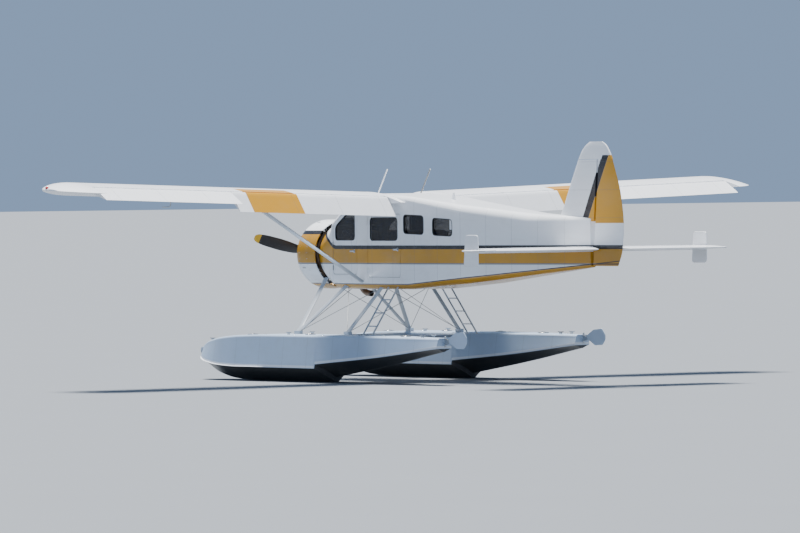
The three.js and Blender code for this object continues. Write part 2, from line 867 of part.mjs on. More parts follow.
// Elevator, columns: y, trailing edge's station
const elevatorSections = [
  [64, 8960],
  [1300, 8945],
  [hornStart, 8905],
];
const elevatorHorn = [
  [hornStart, 7950, 8905, 34],
  [2450, 8010, 8880, 28],
  [2468, 8160, 8790, 16],
  [tailplaneHalfSpan, 8330, 8640, 6],
];
const rudderSweep = solid(
  loft(
    [-700, 1000].map((height) => [
      point(8440, 64, height),
      point(9400, 64 + 960 * Math.tan(27 * deg), height),
      point(9400, 0, height),
      point(8300, 0, height),
      point(8300, 64, height),
    ]),
  ),
);
const portElevator = cut(
  join(
    solid(
      loft(
        elevatorSections.map(([y, trailing]) =>
          taperRing(elevatorHinge, trailing, elevatorNose, onTailplane(y)),
        ),
      ),
    ),
    solid(
      loft(
        elevatorHorn.map(([y, leading, trailing, half]) =>
          lens(leading, trailing, half, onTailplane(y), 4),
        ),
      ),
    ),
  ),
  rudderSweep,
);
const tailCone = cut(
  fuselageBody(tailSections),
  fuselageBody([tailSections[0], tailSections[1], [8100, 90, 640, -250, 80, 80]].map((row) => row), -30, 0)
    .intersect(block(5290, 7300, -600, 600, -700, 900)),
  block(5200, cabinEnd + seatGap, -700, 700, -900, 1100),
);
// Rudder hinge brackets on the sternpost and on the fin's rear face
const rudderBracket = (height) => {
  const end = hingeAt(height) - rudderNose;
  const start = height < 600 ? sternpostStation - 10 : end - runGap - 14;
  return block(start, end - 1.6, -4, 4, height - 12, height + 12);
};

// Floats. Columns: station, keel, chine, half beam at the chine, deck, half beam at the deck; heights from the keels.
// At the step the keel ends further aft than the chines, by the last column
const floatSections = [
  [bowStation, 425, 455, 45, 525, 32],
  [bowStation + 45, 348, 422, 128, 562, 90],
  [-900, 236, 368, 235, 618, 178],
  [-600, 118, 316, 334, 694, 268],
  [-100, 28, 268, 398, 764, 342],
  [500, 0, 250, 420, 802, 366],
  [1150, 0, 250, 422, 817, 368],
  [2850, 0, 250, 428, 820, 372, 100],
  [2856, 92, 322, 418, 820, 372, 100],
  [4500, 310, 450, 335, 818, 290],
  [6100, 570, 625, 158, 800, 126],
];
const keelHalf = 20;
const gunwale = 45;
function floatRing([station, keel, chine, halfBeam, deck, halfDeck, keelAft = 0]) {
  const rise = Math.min(gunwale, (deck - chine) * 0.4);
  const inwards = Math.min(gunwale, halfDeck * 0.5);
  const keelEdge = Math.min(keelHalf, halfBeam * 0.3);
  const half = [
    [keelEdge, keel],
    [halfBeam * 0.55, keel + (chine - keel) * 0.62],
    [halfBeam, chine],
    [halfBeam, chine + 30],
    [halfDeck, deck - rise],
    [halfDeck - inwards * 0.3, deck - rise * 0.3],
    [halfDeck - inwards, deck],
  ];
  const all = [...half, ...half.slice().reverse().map(([y, z]) => [-y, z])];
  const aft = (y, z) => (z < chine ? keelAft * (1 - Math.abs(y) / halfBeam) : 0);
  return all.map(([y, z]) => point(station + aft(y, z), floatCentre + y, z - thrustHeight));
}
const portFloat = solid(loft(floatSections.map(floatRing)));
const deckHeight = 820 - thrustHeight;

// A float's chine, deck or half beam at a station between two rows; the columns are those of the table
function floatAt(station, column) {
  const next = floatSections.findIndex((row) => row[0] >= station);
  const [a, b] = [floatSections[next - 1], floatSections[next]];
  return a[column] + ((b[column] - a[column]) * (station - a[0])) / (b[0] - a[0]);
}
const hatchStations = [-420, 380, 2150, 3750, 5000];
const hatchRadius = 92;
const cleatStations = [-620, 1850, 5650];
const upright = (radius, length, station, y, height, sides) => {
  const post = new THREE.CylinderGeometry(radius, radius, length, sides);
  post.rotateX(Math.PI / 2);
  post.translate(-station, y, height + length / 2 - thrustHeight);
  return solid(post);
};
const horn = (radius, length, station, y, height) => {
  const bar = new THREE.CylinderGeometry(radius, radius, length, 8);
  bar.rotateZ(Math.PI / 2);
  bar.translate(-station, y, height - thrustHeight);
  return solid(bar);
};
const hatchCovers = hatchStations.map((station) =>
  upright(hatchRadius, 34, station, floatCentre, floatAt(station, 4) - 20, 20),
);
// A cleat: a horn on two posts
function cleat(station, side) {
  const y = floatCentre + side * 0.68 * floatAt(station, 5);
  const deck = floatAt(station, 4);
  return [
    upright(9, 46, station - 22, y, deck - 8, 8),
    upright(9, 46, station + 22, y, deck - 8, 8),
    horn(10, 160, station, y, deck + 38),
  ];
}
const cleats = cleatStations.flatMap((station) => [...cleat(station, -1), ...cleat(station, 1)]);
// Spray rails stand out from the chines between these rows of the table
const railStations = [-900, -600, -100, 500, 1300];
const sprayRail = (side) =>
  solid(
    loft(
      railStations.map((station) => {
        const [beam, chine] = [floatAt(station, 3), floatAt(station, 2)];
        return [
          [beam - 8, chine + 14],
          [beam + 22, chine + 8],
          [beam + 22, chine],
          [beam - 8, chine + 2],
        ].map(([y, height]) => point(station, floatCentre + side * y, height - thrustHeight));
      }),
    ),
  );
const dressedFloat = join(portFloat, ...hatchCovers, ...cleats, sprayRail(-1), sprayRail(1));

// Water rudder: a bracket on the stern that steers about a post, and a blade that hangs from it, drawn up level
const sternStation = 6100;
const rudderPostStation = sternStation + 45;
const rudderPostHeight = 740 - thrustHeight;
const waterRudderBracket = (() => {
  const post = new THREE.CylinderGeometry(16, 16, 190, 12);
  post.rotateX(Math.PI / 2);
  post.translate(-rudderPostStation, floatCentre, rudderPostHeight);
  const fork = [-1, 1].map((side) =>
    sidePlate(
      [
        [rudderPostStation + 2, rudderPostHeight - 55],
        [rudderPostStation + 110, rudderPostHeight - 30],
        [rudderPostStation + 110, rudderPostHeight + 30],
        [rudderPostStation + 2, rudderPostHeight + 55],
      ],
      20,
      floatCentre + side * 14 - 4,
      floatCentre + side * 14 + 4,
    ),
  );
  return join(solid(post), ...fork);
})();
const liftPivotStation = rudderPostStation + 85;
const waterRudderBlade = (() => {
  const blade = sidePlate(
    [
      [liftPivotStation - 30, rudderPostHeight - 28],
      [liftPivotStation + 100, rudderPostHeight - 45],
      [liftPivotStation + 240, rudderPostHeight - 120],
      [liftPivotStation + 450, rudderPostHeight - 110],
      [liftPivotStation + 530, rudderPostHeight - 20],
      [liftPivotStation + 530, rudderPostHeight + 70],
      [liftPivotStation + 440, rudderPostHeight + 170],
      [liftPivotStation + 200, rudderPostHeight + 150],
      [liftPivotStation - 30, rudderPostHeight + 28],
    ],
    25,
    floatCentre - 6,
    floatCentre + 6,
  );
  const pin = new THREE.CylinderGeometry(9, 9, 19, 10);
  pin.translate(-liftPivotStation, floatCentre, rudderPostHeight);
  return join(blade, solid(pin));
})();
const sternLugs = [-1, 1].map((side) =>
  block(
    sternStation - 8,
    rudderPostStation - 16 - seatGap,
    floatCentre - 30,
    floatCentre + 30,
    rudderPostHeight + side * 42 - 14,
    rudderPostHeight + side * 42 + 14,
  ),
);

// Float struts: a pair to each front fitting, one to each rear fitting, and two spreader bars between the floats
const fittingY = 1200;
const frontFitting = 1400;
const rearFitting = 2900;
const strutChord = 105;
const strutThickness = 42;
const floatStrut = (from, to) => streamlineBar(from, to, strutChord, strutThickness);
const onDeck = (station, y) => point(station, y, deckHeight - 20);
const strutTrim = (bar) => cut(bar, fuselageSurround, portFloat.translate([0, 0, seatGap]), portFloat);
const pedestal = (station) =>
  block(station - 75, station + 75, fittingY - 40, fittingY + 40, deckHeight - 20, deckHeight + 55);
const frontStruts = strutTrim(
  join(
    floatStrut(onDeck(frontFitting, fittingY), point(1130, 380, -400)),
    floatStrut(onDeck(frontFitting, fittingY), point(1940, 480, -520)),
    pedestal(frontFitting),
  ),
);
const rearStrut = strutTrim(
  join(floatStrut(onDeck(rearFitting, fittingY), point(3020, 480, -520)), pedestal(rearFitting)),
);
const floatPair = join(portFloat, mirrored(portFloat));
const spreaderBar = (station) =>
  cut(
    streamlineBar(
      point(station, -floatCentre + 200, deckHeight - 60),
      point(station, floatCentre - 200, deckHeight - 60),
      90,
      62,
      12,
    ),
    floatPair.translate([0, seatGap, 0]),
    floatPair.translate([0, -seatGap, 0]),
  );

// Boarding ladder beside each cabin door: two rails and three rungs
const ladder = (() => {
  const top = [3380, 560, -560];
  const foot = [3380, 1130, deckHeight - 20];
  const rail = (offset) =>
    streamlineBar(
      point(foot[0] + offset, foot[1], foot[2]),
      point(top[0] + offset, top[1], top[2]),
      34,
      28,
      8,
    );
  const rungs = [0.2, 0.47, 0.74].map((share) => {
    const y = foot[1] + (top[1] - foot[1]) * share;
    const height = foot[2] + (top[2] - foot[2]) * share;
    return block(foot[0] - 140, foot[0] + 140, y - 22, y + 22, height - 10, height + 10);
  });
  const ladder = join(rail(-140), rail(140), ...rungs);
  return cut(ladder, fuselageSurround, portFloat.translate([0, -seatGap, seatGap]), portFloat);
})();

// The screen's two panes touch behind the centre post
const windscreen = (() => {
  const { pane, strip, edge } = screenPanes;
  const joined = join(pane, mirrored(pane));
  const behindPost = strip.intersect(block(1500, 2300, -screenPost - 25, screenPost + 25, 400, 1200));
  const link = cut(
    fuselageBody(cabinSections, -10).intersect(
      block(screenBottomStation + 40, screenTopStation - 40, screenPost + 2, screenPost + 22, 450, 1100),
    ),
    fuselageBody(cabinSections, -cabinWall - 7, 20),
  );
  return { joined: join(joined, behindPost, link, mirrored(link)), edge };
})();

// The assembly
const aircraft = new THREE.Group();
aircraft.position.set(
  (rudderTrailingStation + bowStation) / 2,
  0,
  thrustHeight,
);
function add(name, material, made) {
  const mesh = new THREE.Mesh(geometryOf(made), material);
  mesh.name = name;
  aircraft.add(mesh);
}
function addPair(name, material, portMade) {
  add(name + "_left", material, portMade);
  add(name + "_right", material, mirrored(portMade));
}

const noseBlock = block(1000, cabinStart - seatGap, -700, 700, -700, 700);
add("nose_fairing", white, fuselageBody(noseSections).intersect(noseBlock));
add("cabin_belly", white, cabinBelly);
addPair("cabin_side", white, sideWall);
add("cabin_roof", white, roof);
add("windscreen_frame", white, screenFrame);
add("windscreen", clear, windscreen.joined);
add("cabin_floor", trimGrey, cabinFloor);
add("rear_bulkhead", trimGrey, rearBulkhead);
add("tail_cone", white, join(tailCone, ...[60, 420].map(rudderBracket)));
addPair("crew_door", white, crewDoorSlab);
addPair("cabin_door", white, cabinDoorSlab);
addPair("crew_door_glass", clear, crewPane);
addPair("cabin_door_glass", clear, cabinDoorPane);
addPair("side_glass", clear, sidePane);
add("instrument_panel", darkMetal, instrumentPanel);
add("control_column", darkMetal, controlColumn);
addPair("front_seat", hide, seat(1860, 290, 440));
add("rear_bench", hide, seat(3080, 0, 1040));
add("engine", bareMetal, engine);
add("engine_cowl", white, cowl);
add("propeller", darkMetal, propeller);
add("exhaust_pipe", bareMetal, exhaustPipe);
addPair("wing", white, portWing);
addPair("flap", white, portFlap);
addPair("aileron", white, portAileron);
addPair("wing_strut", white, wingStrut);
add("fin", white, join(fin, ...[900, 1450].map(rudderBracket)));
add("rudder", gold, rudder);
addPair("stabilizer", white, portStabilizer);
addPair("elevator", white, portElevator);
addPair("float", silver, join(dressedFloat, ...sternLugs));
addPair("water_rudder_post", bareMetal, waterRudderBracket);
addPair("water_rudder_blade", silver, waterRudderBlade);
addPair("float_front_struts", silver, frontStruts);
addPair("float_rear_strut", silver, rearStrut);
add("spreader_bar_front", silver, spreaderBar(frontFitting));
add("spreader_bar_rear", silver, spreaderBar(rearFitting));
addPair("boarding_ladder", bareMetal, ladder);

export default aircraft;
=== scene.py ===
import json
import math
import bmesh
import bpy
import numpy as np
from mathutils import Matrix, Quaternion, Vector


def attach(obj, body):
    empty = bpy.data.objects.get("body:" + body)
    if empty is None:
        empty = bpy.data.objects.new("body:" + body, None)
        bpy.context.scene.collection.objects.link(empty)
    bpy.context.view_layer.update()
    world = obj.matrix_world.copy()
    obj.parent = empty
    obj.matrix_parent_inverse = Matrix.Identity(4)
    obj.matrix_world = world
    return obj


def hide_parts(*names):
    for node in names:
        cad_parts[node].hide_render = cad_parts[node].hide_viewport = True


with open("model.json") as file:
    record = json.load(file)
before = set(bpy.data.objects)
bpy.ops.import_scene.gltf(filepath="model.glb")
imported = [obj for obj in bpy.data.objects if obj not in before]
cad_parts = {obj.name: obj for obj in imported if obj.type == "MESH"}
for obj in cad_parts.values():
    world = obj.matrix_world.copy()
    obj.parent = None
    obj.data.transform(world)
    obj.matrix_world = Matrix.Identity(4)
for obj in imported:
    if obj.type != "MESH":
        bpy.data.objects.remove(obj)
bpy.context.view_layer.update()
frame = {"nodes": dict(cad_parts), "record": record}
print("frame loaded:", len(frame["nodes"]), "nodes")

# Stations run aft from the front of the propeller's hub and heights up from the thrust line, in
# millimetres. The frame has the hub's front at noseX and the thrust line at thrustZ, in metres, and the
# keels are at keelLevel
noseX, thrustZ, keelLevel = 4.06, 2.2, -2200


# x = noseX - station, z = thrustZ + height
def place(station, y, height):
    station, y, height = np.broadcast_arrays(*(np.asarray(v, float) for v in (station, y, height)))
    return np.stack([noseX - station / 1000, y / 1000, thrustZ + height / 1000], -1)


# A shell is its points and its arrays of faces. The sum of its faces' tetrahedra with the origin is its
# volume, and a negative one turns the faces round
def shell(points, faces):
    points = np.asarray(points, float).reshape(-1, 3)
    volume = 0.0
    for face in faces:
        corner = points[face[:, 0]]
        for k in range(1, face.shape[1] - 1):
            volume += np.einsum("ij,ij->", corner, np.cross(points[face[:, k]], points[face[:, k + 1]]))
    return points, [face[:, ::-1] for face in faces] if volume < 0 else faces


# Rings as rows of a grid, joined by quads round them and along them, with a flat face at both ends or
# wrapped round
def loft(rings, wrap=False):
    rings = np.asarray(rings, float)
    rows, columns = rings.shape[:2]
    i, j = np.meshgrid(np.arange(rows if wrap else rows - 1), np.arange(columns), indexing="ij")
    a, b = i * columns + j, i * columns + (j + 1) % columns
    d, c = ((i + 1) % rows) * columns + j, ((i + 1) % rows) * columns + (j + 1) % columns
    faces = [np.stack([a, b, c, d], -1).reshape(-1, 4)]
    if not wrap:
        faces += [np.arange(columns)[None, ::-1], (rows - 1) * columns + np.arange(columns)[None]]
    return shell(rings, faces)


# Three unit vectors: two across the direction, the first as near to the reference as it goes, and its own
def axes(direction, reference=(1, 0, 0)):
    w = np.asarray(direction, float) / np.linalg.norm(direction)
    u = np.asarray(reference, float) - np.dot(reference, w) * w
    if np.linalg.norm(u) < 1e-3:
        u = np.array([0, 0, 1.0]) - w[2] * w
    u /= np.linalg.norm(u)
    return u, np.cross(w, u), w


# A profile of (along, radius) carried round an axis: origin + along * w + radius * (cos u + sin v), in metres
def turned(profile, origin, direction, sides=32, wrap=False):
    profile = np.asarray(profile, float)
    u, v, w = axes(direction)
    angle = np.linspace(0, 2 * np.pi, sides, endpoint=False)
    spokes = np.cos(angle)[:, None] * u + np.sin(angle)[:, None] * v
    radius = np.maximum(profile[:, 1], 2e-4)[:, None, None]
    rings = np.asarray(origin) + profile[:, 0, None, None] * w + radius * spokes
    return loft(rings, wrap)


# A disc or post: a short turned profile whose rim is a quarter circle
def post(origin, direction, length, radius, rim=0.15, sides=20):
    r = rim * min(radius, length)
    arc = np.linspace(0, np.pi / 2, 4)
    top = np.stack([length - r + r * np.sin(arc), radius - r + r * np.cos(arc)], -1)
    return turned(np.vstack([[[0, radius]], top, [[length, 0]]]), origin, direction, sides)


# A smooth line through the points of a path: Catmull-Rom, p = blend of four neighbours by the cubic in t
def smoothPath(points, steps=8):
    points = np.asarray(points, float)
    padded = np.vstack([2 * points[0] - points[1], points, 2 * points[-1] - points[-2]])
    t = np.linspace(0, 1, steps, endpoint=False)[None, :, None]
    a, b, c, d = (padded[k : len(padded) - 3 + k, None, :] for k in range(4))
    path = 0.5 * (2 * b + (c - a) * t + (2 * a - 5 * b + 4 * c - d) * t**2 + (3 * b - a - 3 * c + d) * t**3)
    return np.vstack([path.reshape(-1, points.shape[1]), points[-1]])


# A round or oval section carried along a path: path + width cos * side + depth sin * up, side across the
# tangent
def tube(path, width, depth=None, sides=12, reference=(0, 0, 1), closed=False):
    path = np.asarray(path, float)
    tangent = np.roll(path, -1, 0) - np.roll(path, 1, 0) if closed else np.gradient(path, axis=0)
    tangent /= np.linalg.norm(tangent, axis=1, keepdims=True)
    side = np.cross(tangent, np.asarray(reference, float))
    side /= np.linalg.norm(side, axis=1, keepdims=True)
    up = np.cross(side, tangent)
    angle = np.linspace(0, 2 * np.pi, sides, endpoint=False)[None, :, None]
    depth = width if depth is None else depth
    width, depth = (np.broadcast_to(np.asarray(v, float), len(path))[:, None, None] for v in (width, depth))
    side, up = width * np.cos(angle) * side[:, None, :], depth * np.sin(angle) * up[:, None, :]
    return loft(path[:, None, :] + side + up, closed)


def straightTube(start, end, width, depth=None, sides=12, reference=(0, 0, 1), rings=4):
    return tube(np.linspace(start, end, rings), width, depth, sides, reference)


# A faired bar between two points. Its section is a teardrop, blunt in front: fore = chord / 2 cos, side =
# thickness / 2 sin (1 + 0.35 cos). Each pair in stretch is a share of the way and the section's size there
def bar(start, end, chord, thickness, sides=28, stretch=((0, 1), (1, 1))):
    start, end = np.asarray(start, float), np.asarray(end, float)
    u, v, w = axes(end - start)
    angle = np.linspace(0, 2 * np.pi, sides, endpoint=False)
    fore = chord / 2 * np.cos(angle)
    side = thickness / 2 * np.sin(angle) * (1 + 0.35 * np.cos(angle)) / 1.06
    rings = [start + (end - start) * t + k * (fore[:, None] * u + side[:, None] * v) for t, k in stretch]
    return loft(np.array(rings))


# A block between two corners
def block(low, high):
    low, high = np.asarray(low, float), np.asarray(high, float)
    corners = np.array([[x, y, z] for x in (0, 1) for y in (0, 1) for z in (0, 1)]) * (high - low) + low
    quads = [[0, 1, 3, 2], [4, 6, 7, 5], [0, 4, 5, 1], [2, 3, 7, 6], [0, 2, 6, 4], [1, 5, 7, 3]]
    return shell(corners, [np.array(quads)])


# The other side's shell: y becomes -y
def mirrored(made):
    return shell(made[0] * [1, -1, 1], made[1])


# Columns of a table at new places along its first column, by cubics whose slopes never overshoot
def smoothTable(table, at):
    table, at = np.asarray(table, float), np.asarray(at, float)
    x, y = table[:, 0], table[:, 1:]
    h = np.diff(x)[:, None]
    rise = np.diff(y, axis=0) / h
    slope = np.vstack([rise[:1], rise, rise[-1:]])
    before, after = slope[:-1], slope[1:]
    product = before * after
    middle = np.where(product > 0, 2 * product / np.where(product > 0, before + after, 1), 0)
    middle[0], middle[-1] = rise[0], rise[-1]
    k = np.clip(np.searchsorted(x, at, side="right") - 1, 0, len(x) - 2)
    t = ((at - x[k]) / h[k, 0])[:, None]
    return ((1 + 2 * t) * (1 - t) ** 2 * y[k] + t * (1 - t) ** 2 * h[k] * middle[k]
            + t**2 * (3 - 2 * t) * y[k + 1] + t**2 * (t - 1) * h[k] * middle[k + 1])


# Turns shells into one Blender object, smooth except across edges sharper than the angle
def piece(name, shells, material, body="airframe", slot="white_paint", replaces=(), sharp=32, bevel=0.0):
    points = np.concatenate([made[0] for made in shells])
    starts = np.cumsum([0] + [len(made[0]) for made in shells])
    faces = [face + start for made, start in zip(shells, starts) for face in made[1]]
    sizes = np.concatenate([np.full(len(face), face.shape[1]) for face in faces])
    corners = np.concatenate([face.ravel() for face in faces])
    mesh = bpy.data.meshes.new(name)
    mesh.vertices.add(len(points))
    mesh.vertices.foreach_set("co", points.ravel())
    mesh.loops.add(len(corners))
    mesh.loops.foreach_set("vertex_index", corners.astype(np.int32))
    mesh.polygons.add(len(sizes))
    mesh.polygons.foreach_set("loop_start", np.concatenate([[0], np.cumsum(sizes)[:-1]]).astype(np.int32))
    mesh.update(calc_edges=True)
    mesh.shade_smooth()
    mesh.set_sharp_from_angle(angle=math.radians(sharp))
    made = bpy.data.objects.new(name, mesh)
    bpy.context.collection.objects.link(made)
    finishPiece(made, material, bevel)
    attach(made, body)
    if replaces:
        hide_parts(*replaces)
    return made


# A fine bevel catches the light along the edges
def finishPiece(made, material, bevel):
    made.data.materials.clear()
    made.data.materials.append(material)
    if bevel:
        edge = made.modifiers.new("edges", "BEVEL")
        edge.width, edge.segments = bevel, 2
        edge.limit_method, edge.angle_limit = "ANGLE", math.radians(40)


# A merged, smooth-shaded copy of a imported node, with its flat faces made whole
def smoothCopy(node, material, sharp=30, bevel=0.0):
    mesh = frame["nodes"][node].data.copy()
    made = bpy.data.objects.new(f"{node}_fine", mesh)
    bpy.context.collection.objects.link(made)
    work = bmesh.new()
    work.from_mesh(mesh)
    bmesh.ops.remove_doubles(work, verts=work.verts, dist=2e-5)
    bmesh.ops.dissolve_limit(work, angle_limit=math.radians(0.6), verts=work.verts, edges=work.edges)
    work.to_mesh(mesh)
    work.free()
    mesh.shade_smooth()
    mesh.set_sharp_from_angle(angle=math.radians(sharp))
    finishPiece(made, material, bevel)
    weight = made.modifiers.new("weights", "WEIGHTED_NORMAL")
    weight.keep_sharp = True
    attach(made, bodyOf[node])
    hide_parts(node)
    return made


bodies = frame["record"]["behaviour"]["bodies"]
bodyOf = {node: body for body, members in bodies.items() for node in members}
sides = (("left", 1), ("right", -1))


# A piece on each side, the right one mirrored. A body or a replaced node is named without its side
def pair(name, shells, material, body="airframe", replaces=None, **more):
    made = []
    for side, sign in sides:
        made.append(piece(f"{name}_{side}", shells if sign > 0 else [mirrored(s) for s in shells], material,
                          body if body == "airframe" else f"{body}_{side}",
                          replaces=(f"{replaces}_{side}",) if replaces else (), **more))
    return made


# Shader nodes: a maths node fed by numbers or sockets, and the few others that every finish is built from
def calc(tree, operation, *values, clamp=False):
    node = tree.nodes.new("ShaderNodeMath")
    node.operation, node.use_clamp = operation, clamp
    for socket, value in zip(node.inputs, values):
        feed(tree, socket, value)
    return node.outputs[0]


def feed(tree, socket, value):
    if isinstance(value, bpy.types.NodeSocket):
        tree.links.new(value, socket)
    else:
        socket.default_value = value


# Rises smoothly from 0 at the low end to 1 at the high end
def ramp(tree, value, low, high, to=(0.0, 1.0)):
    node = tree.nodes.new("ShaderNodeMapRange")
    node.interpolation_type = "SMOOTHSTEP"
    for socket, v in zip(node.inputs, (value, low, high, *to)):
        feed(tree, socket, v)
    return node.outputs[0]


# Colour a where the factor is 0 and colour b where it is 1
def mix(tree, factor, a, b):
    node = tree.nodes.new("ShaderNodeMix")
    node.data_type, node.clamp_factor = "RGBA", True
    for index, value in ((0, factor), (6, a), (7, b)):
        feed(tree, node.inputs[index], value)
    return node.outputs[2]


# Object coordinates, whole and as x, y and z
def coordinates(tree):
    where = tree.nodes.new("ShaderNodeTexCoord").outputs["Object"]
    split = tree.nodes.new("ShaderNodeSeparateXYZ")
    tree.links.new(where, split.inputs[0])
    return where, *split.outputs


# A noise texture, finer along the axes whose stretch is over 1
def noise(tree, where, scale, detail=4.0, roughness=0.55, stretch=None):
    if stretch:
        mapping = tree.nodes.new("ShaderNodeMapping")
        tree.links.new(where, mapping.inputs["Vector"])
        mapping.inputs["Scale"].default_value = stretch
        where = mapping.outputs[0]
    node = tree.nodes.new("ShaderNodeTexNoise")
    tree.links.new(where, node.inputs["Vector"])
    for label, value in (("Scale", scale), ("Detail", detail), ("Roughness", roughness)):
        node.inputs[label].default_value = value
    return node.outputs["Fac"]


def attribute(tree, name):
    node = tree.nodes.new("ShaderNodeAttribute")
    node.attribute_name = name
    return node.outputs["Fac"]


# A node group: inputs are (label, value), where no value makes it a vector, and outputs are labels of numbers
def group(name, inputs, outputs):
    made = bpy.data.node_groups.new(name, "ShaderNodeTree")
    for label, value in inputs:
        kind = "NodeSocketVector" if value is None else "NodeSocketFloat"
        socket = made.interface.new_socket(name=label, in_out="INPUT", socket_type=kind)
        if value is not None:
            socket.default_value = value
    for label in outputs:
        made.interface.new_socket(name=label, in_out="OUTPUT", socket_type="NodeSocketFloat")
    return made, made.nodes.new("NodeGroupInput").outputs, made.nodes.new("NodeGroupOutput").inputs


# Places a group in a finish, with its own values
def use(tree, made, **values):
    node = tree.nodes.new("ShaderNodeGroup")
    node.node_tree = made
    for label, value in values.items():
        feed(tree, node.inputs[label], value)
    return node.outputs


# How far a value is from the nearest multiple of the spacing: |frac(value / spacing + 0.5) - 0.5| * spacing
def offMultiple(tree, value, spacing):
    turn = calc(tree, "FRACT", calc(tree, "ADD", calc(tree, "DIVIDE", value, spacing), 0.5))
    return calc(tree, "MULTIPLY", calc(tree, "ABSOLUTE", calc(tree, "SUBTRACT", turn, 0.5)), spacing)


# Seams: 1 at every multiple of the spacing, falling to 0 between 0.35 and 1 widths away from it
def buildSeams():
    tree, given, out = group("panelSeams", [("Along", 0.0), ("Spacing", 0.5), ("Width", 0.004)], ["Mask"])
    distance = offMultiple(tree, given["Along"], given["Spacing"])
    inner = calc(tree, "MULTIPLY", given["Width"], 0.35)
    tree.links.new(ramp(tree, distance, given["Width"], inner), out["Mask"])
    return tree


# Rivets: dots at every pitch along a line and beside every row across it, by the distance to the nearest
# such point
def buildRivets():
    tree, given, out = group("rivetRows", [("Along", 0.0), ("Across", 0.0), ("Pitch", 0.04), ("Row", 0.5),
                                           ("Offset", 0.015), ("Radius", 0.004)], ["Mask"])
    along = offMultiple(tree, given["Along"], given["Pitch"])
    across = calc(tree, "SUBTRACT", offMultiple(tree, given["Across"], given["Row"]), given["Offset"])
    squares = [calc(tree, "POWER", value, 2.0) for value in (along, across)]
    distance = calc(tree, "SQRT", calc(tree, "ADD", *squares))
    inner = calc(tree, "MULTIPLY", given["Radius"], 0.4)
    tree.links.new(ramp(tree, distance, given["Radius"], inner), out["Mask"])
    return tree


# Grime: soft blotches and thin streaks that run aft; it gives a mask and a roughness
def buildGrime():
    tree, given, out = group("grime", [("Where", None), ("Amount", 0.3), ("Clean", 0.25), ("Dull", 0.55)],
                             ["Mask", "Roughness"])
    blotch = ramp(tree, noise(tree, given["Where"], 2.2, 5.0, 0.62), 0.48, 0.78)
    streak = ramp(tree, noise(tree, given["Where"], 9.0, 3.0, 0.5, (0.18, 1.0, 1.6)), 0.5, 0.8)
    fine = noise(tree, given["Where"], 60.0, 2.0)
    either = calc(tree, "MAXIMUM", blotch, calc(tree, "MULTIPLY", streak, 0.7))
    both = calc(tree, "MULTIPLY", either, given["Amount"], clamp=True)
    tree.links.new(both, out["Mask"])
    worn = calc(tree, "ADD", both, calc(tree, "MULTIPLY", fine, 0.12), clamp=True)
    tree.links.new(ramp(tree, worn, 0.0, 1.0, (given["Clean"], given["Dull"])), out["Roughness"])
    return tree


# Skin: the slight swells of metal sheets drawn taut between frames, given as a height
def buildTautSkin():
    tree, given, out = group("tautSkin", [("Where", None), ("Depth", 1.0)], ["Height"])
    soft = noise(tree, given["Where"], 3.4, 1.0, 0.4, (1.0, 1.0, 1.3))
    tree.links.new(calc(tree, "MULTIPLY", soft, given["Depth"]), out["Height"])
    return tree


panelSeams, rivetRows, grime, tautSkin = buildSeams(), buildRivets(), buildGrime(), buildTautSkin()


# A finish: one Principled shader, with its plain values set on its own sockets
def finish(name, **values):
    made = bpy.data.materials.new(name)
    made.use_nodes = True
    tree = made.node_tree
    shader = tree.nodes["Principled BSDF"]
    for label, value in values.items():
        shader.inputs[label].default_value = value
    return made, tree, shader.inputs


def bump(tree, inputs, height, strength, distance):
    node = tree.nodes.new("ShaderNodeBump")
    node.inputs["Strength"].default_value, node.inputs["Distance"].default_value = strength, distance
    tree.links.new(height, node.inputs["Height"])
    tree.links.new(node.outputs[0], inputs["Normal"])


# The same colour, lighter or darker
def shaded(colour, factor):
    return tuple(min(1, c * factor) for c in colour[:3]) + (1,)


paint = dict(
    white=(0.82, 0.84, 0.87, 1), gold=(0.55, 0.27, 0.014, 1), deepGold=(0.44, 0.22, 0.018, 1),
    # silver and dullSilver carry a blue cast that is painted reflection of the sky on the floats' own silver
    dark=(0.018, 0.019, 0.024, 1), silver=(0.42, 0.53, 0.68, 1), dullSilver=(0.33, 0.41, 0.52, 1),
    # bottom is near-black: painted shade of the floats' undersides
    strut=(0.46, 0.50, 0.55, 1), bottom=(0.040, 0.043, 0.046, 1), line=(0.10, 0.115, 0.13, 1),
    soil=(0.33, 0.30, 0.26, 1), lining=(0.20, 0.195, 0.19, 1), clean=0.22, dull=0.5, seamWidth=0.0035,
)


# A painted sheet-metal finish: base colour by the scheme under grime, with sunk seams and raised rivets, both
# a little darker
def sheetMetal(name, scheme, seams=None, rivets=None, soil=0.22, taut=0.5, clean=paint["clean"], **values):
    made, tree, inputs = finish(name, **{"IOR": 1.5, **values})
    where, x, y, z = coordinates(tree)
    axis = dict(x=x, y=y, z=z)
    colour = scheme(tree, where, x, y, z)
    dirty = use(tree, grime, Where=where, Amount=soil, Clean=clean, Dull=paint["dull"])
    height = use(tree, tautSkin, Where=where, Depth=taut)["Height"]
    colour = mix(tree, calc(tree, "MULTIPLY", dirty["Mask"], 0.55), colour, paint["soil"])
    if seams:
        along, spacing = seams
        lines = use(tree, panelSeams, Along=axis[along], Spacing=spacing, Width=paint["seamWidth"])["Mask"]
        colour = mix(tree, calc(tree, "MULTIPLY", lines, 0.5), colour, paint["line"])
        height = calc(tree, "SUBTRACT", height, lines)
    if rivets:
        along, across, pitch, row = rivets
        dots = use(tree, rivetRows, Along=axis[along], Across=axis[across], Pitch=pitch, Row=row)["Mask"]
        colour = mix(tree, calc(tree, "MULTIPLY", dots, 0.25), colour, paint["line"])
        height = calc(tree, "ADD", height, calc(tree, "MULTIPLY", dots, 0.6))
    tree.links.new(colour, inputs["Base Color"])
    tree.links.new(dirty["Roughness"], inputs["Roughness"])
    bump(tree, inputs, height, 0.35, 0.003)
    return made


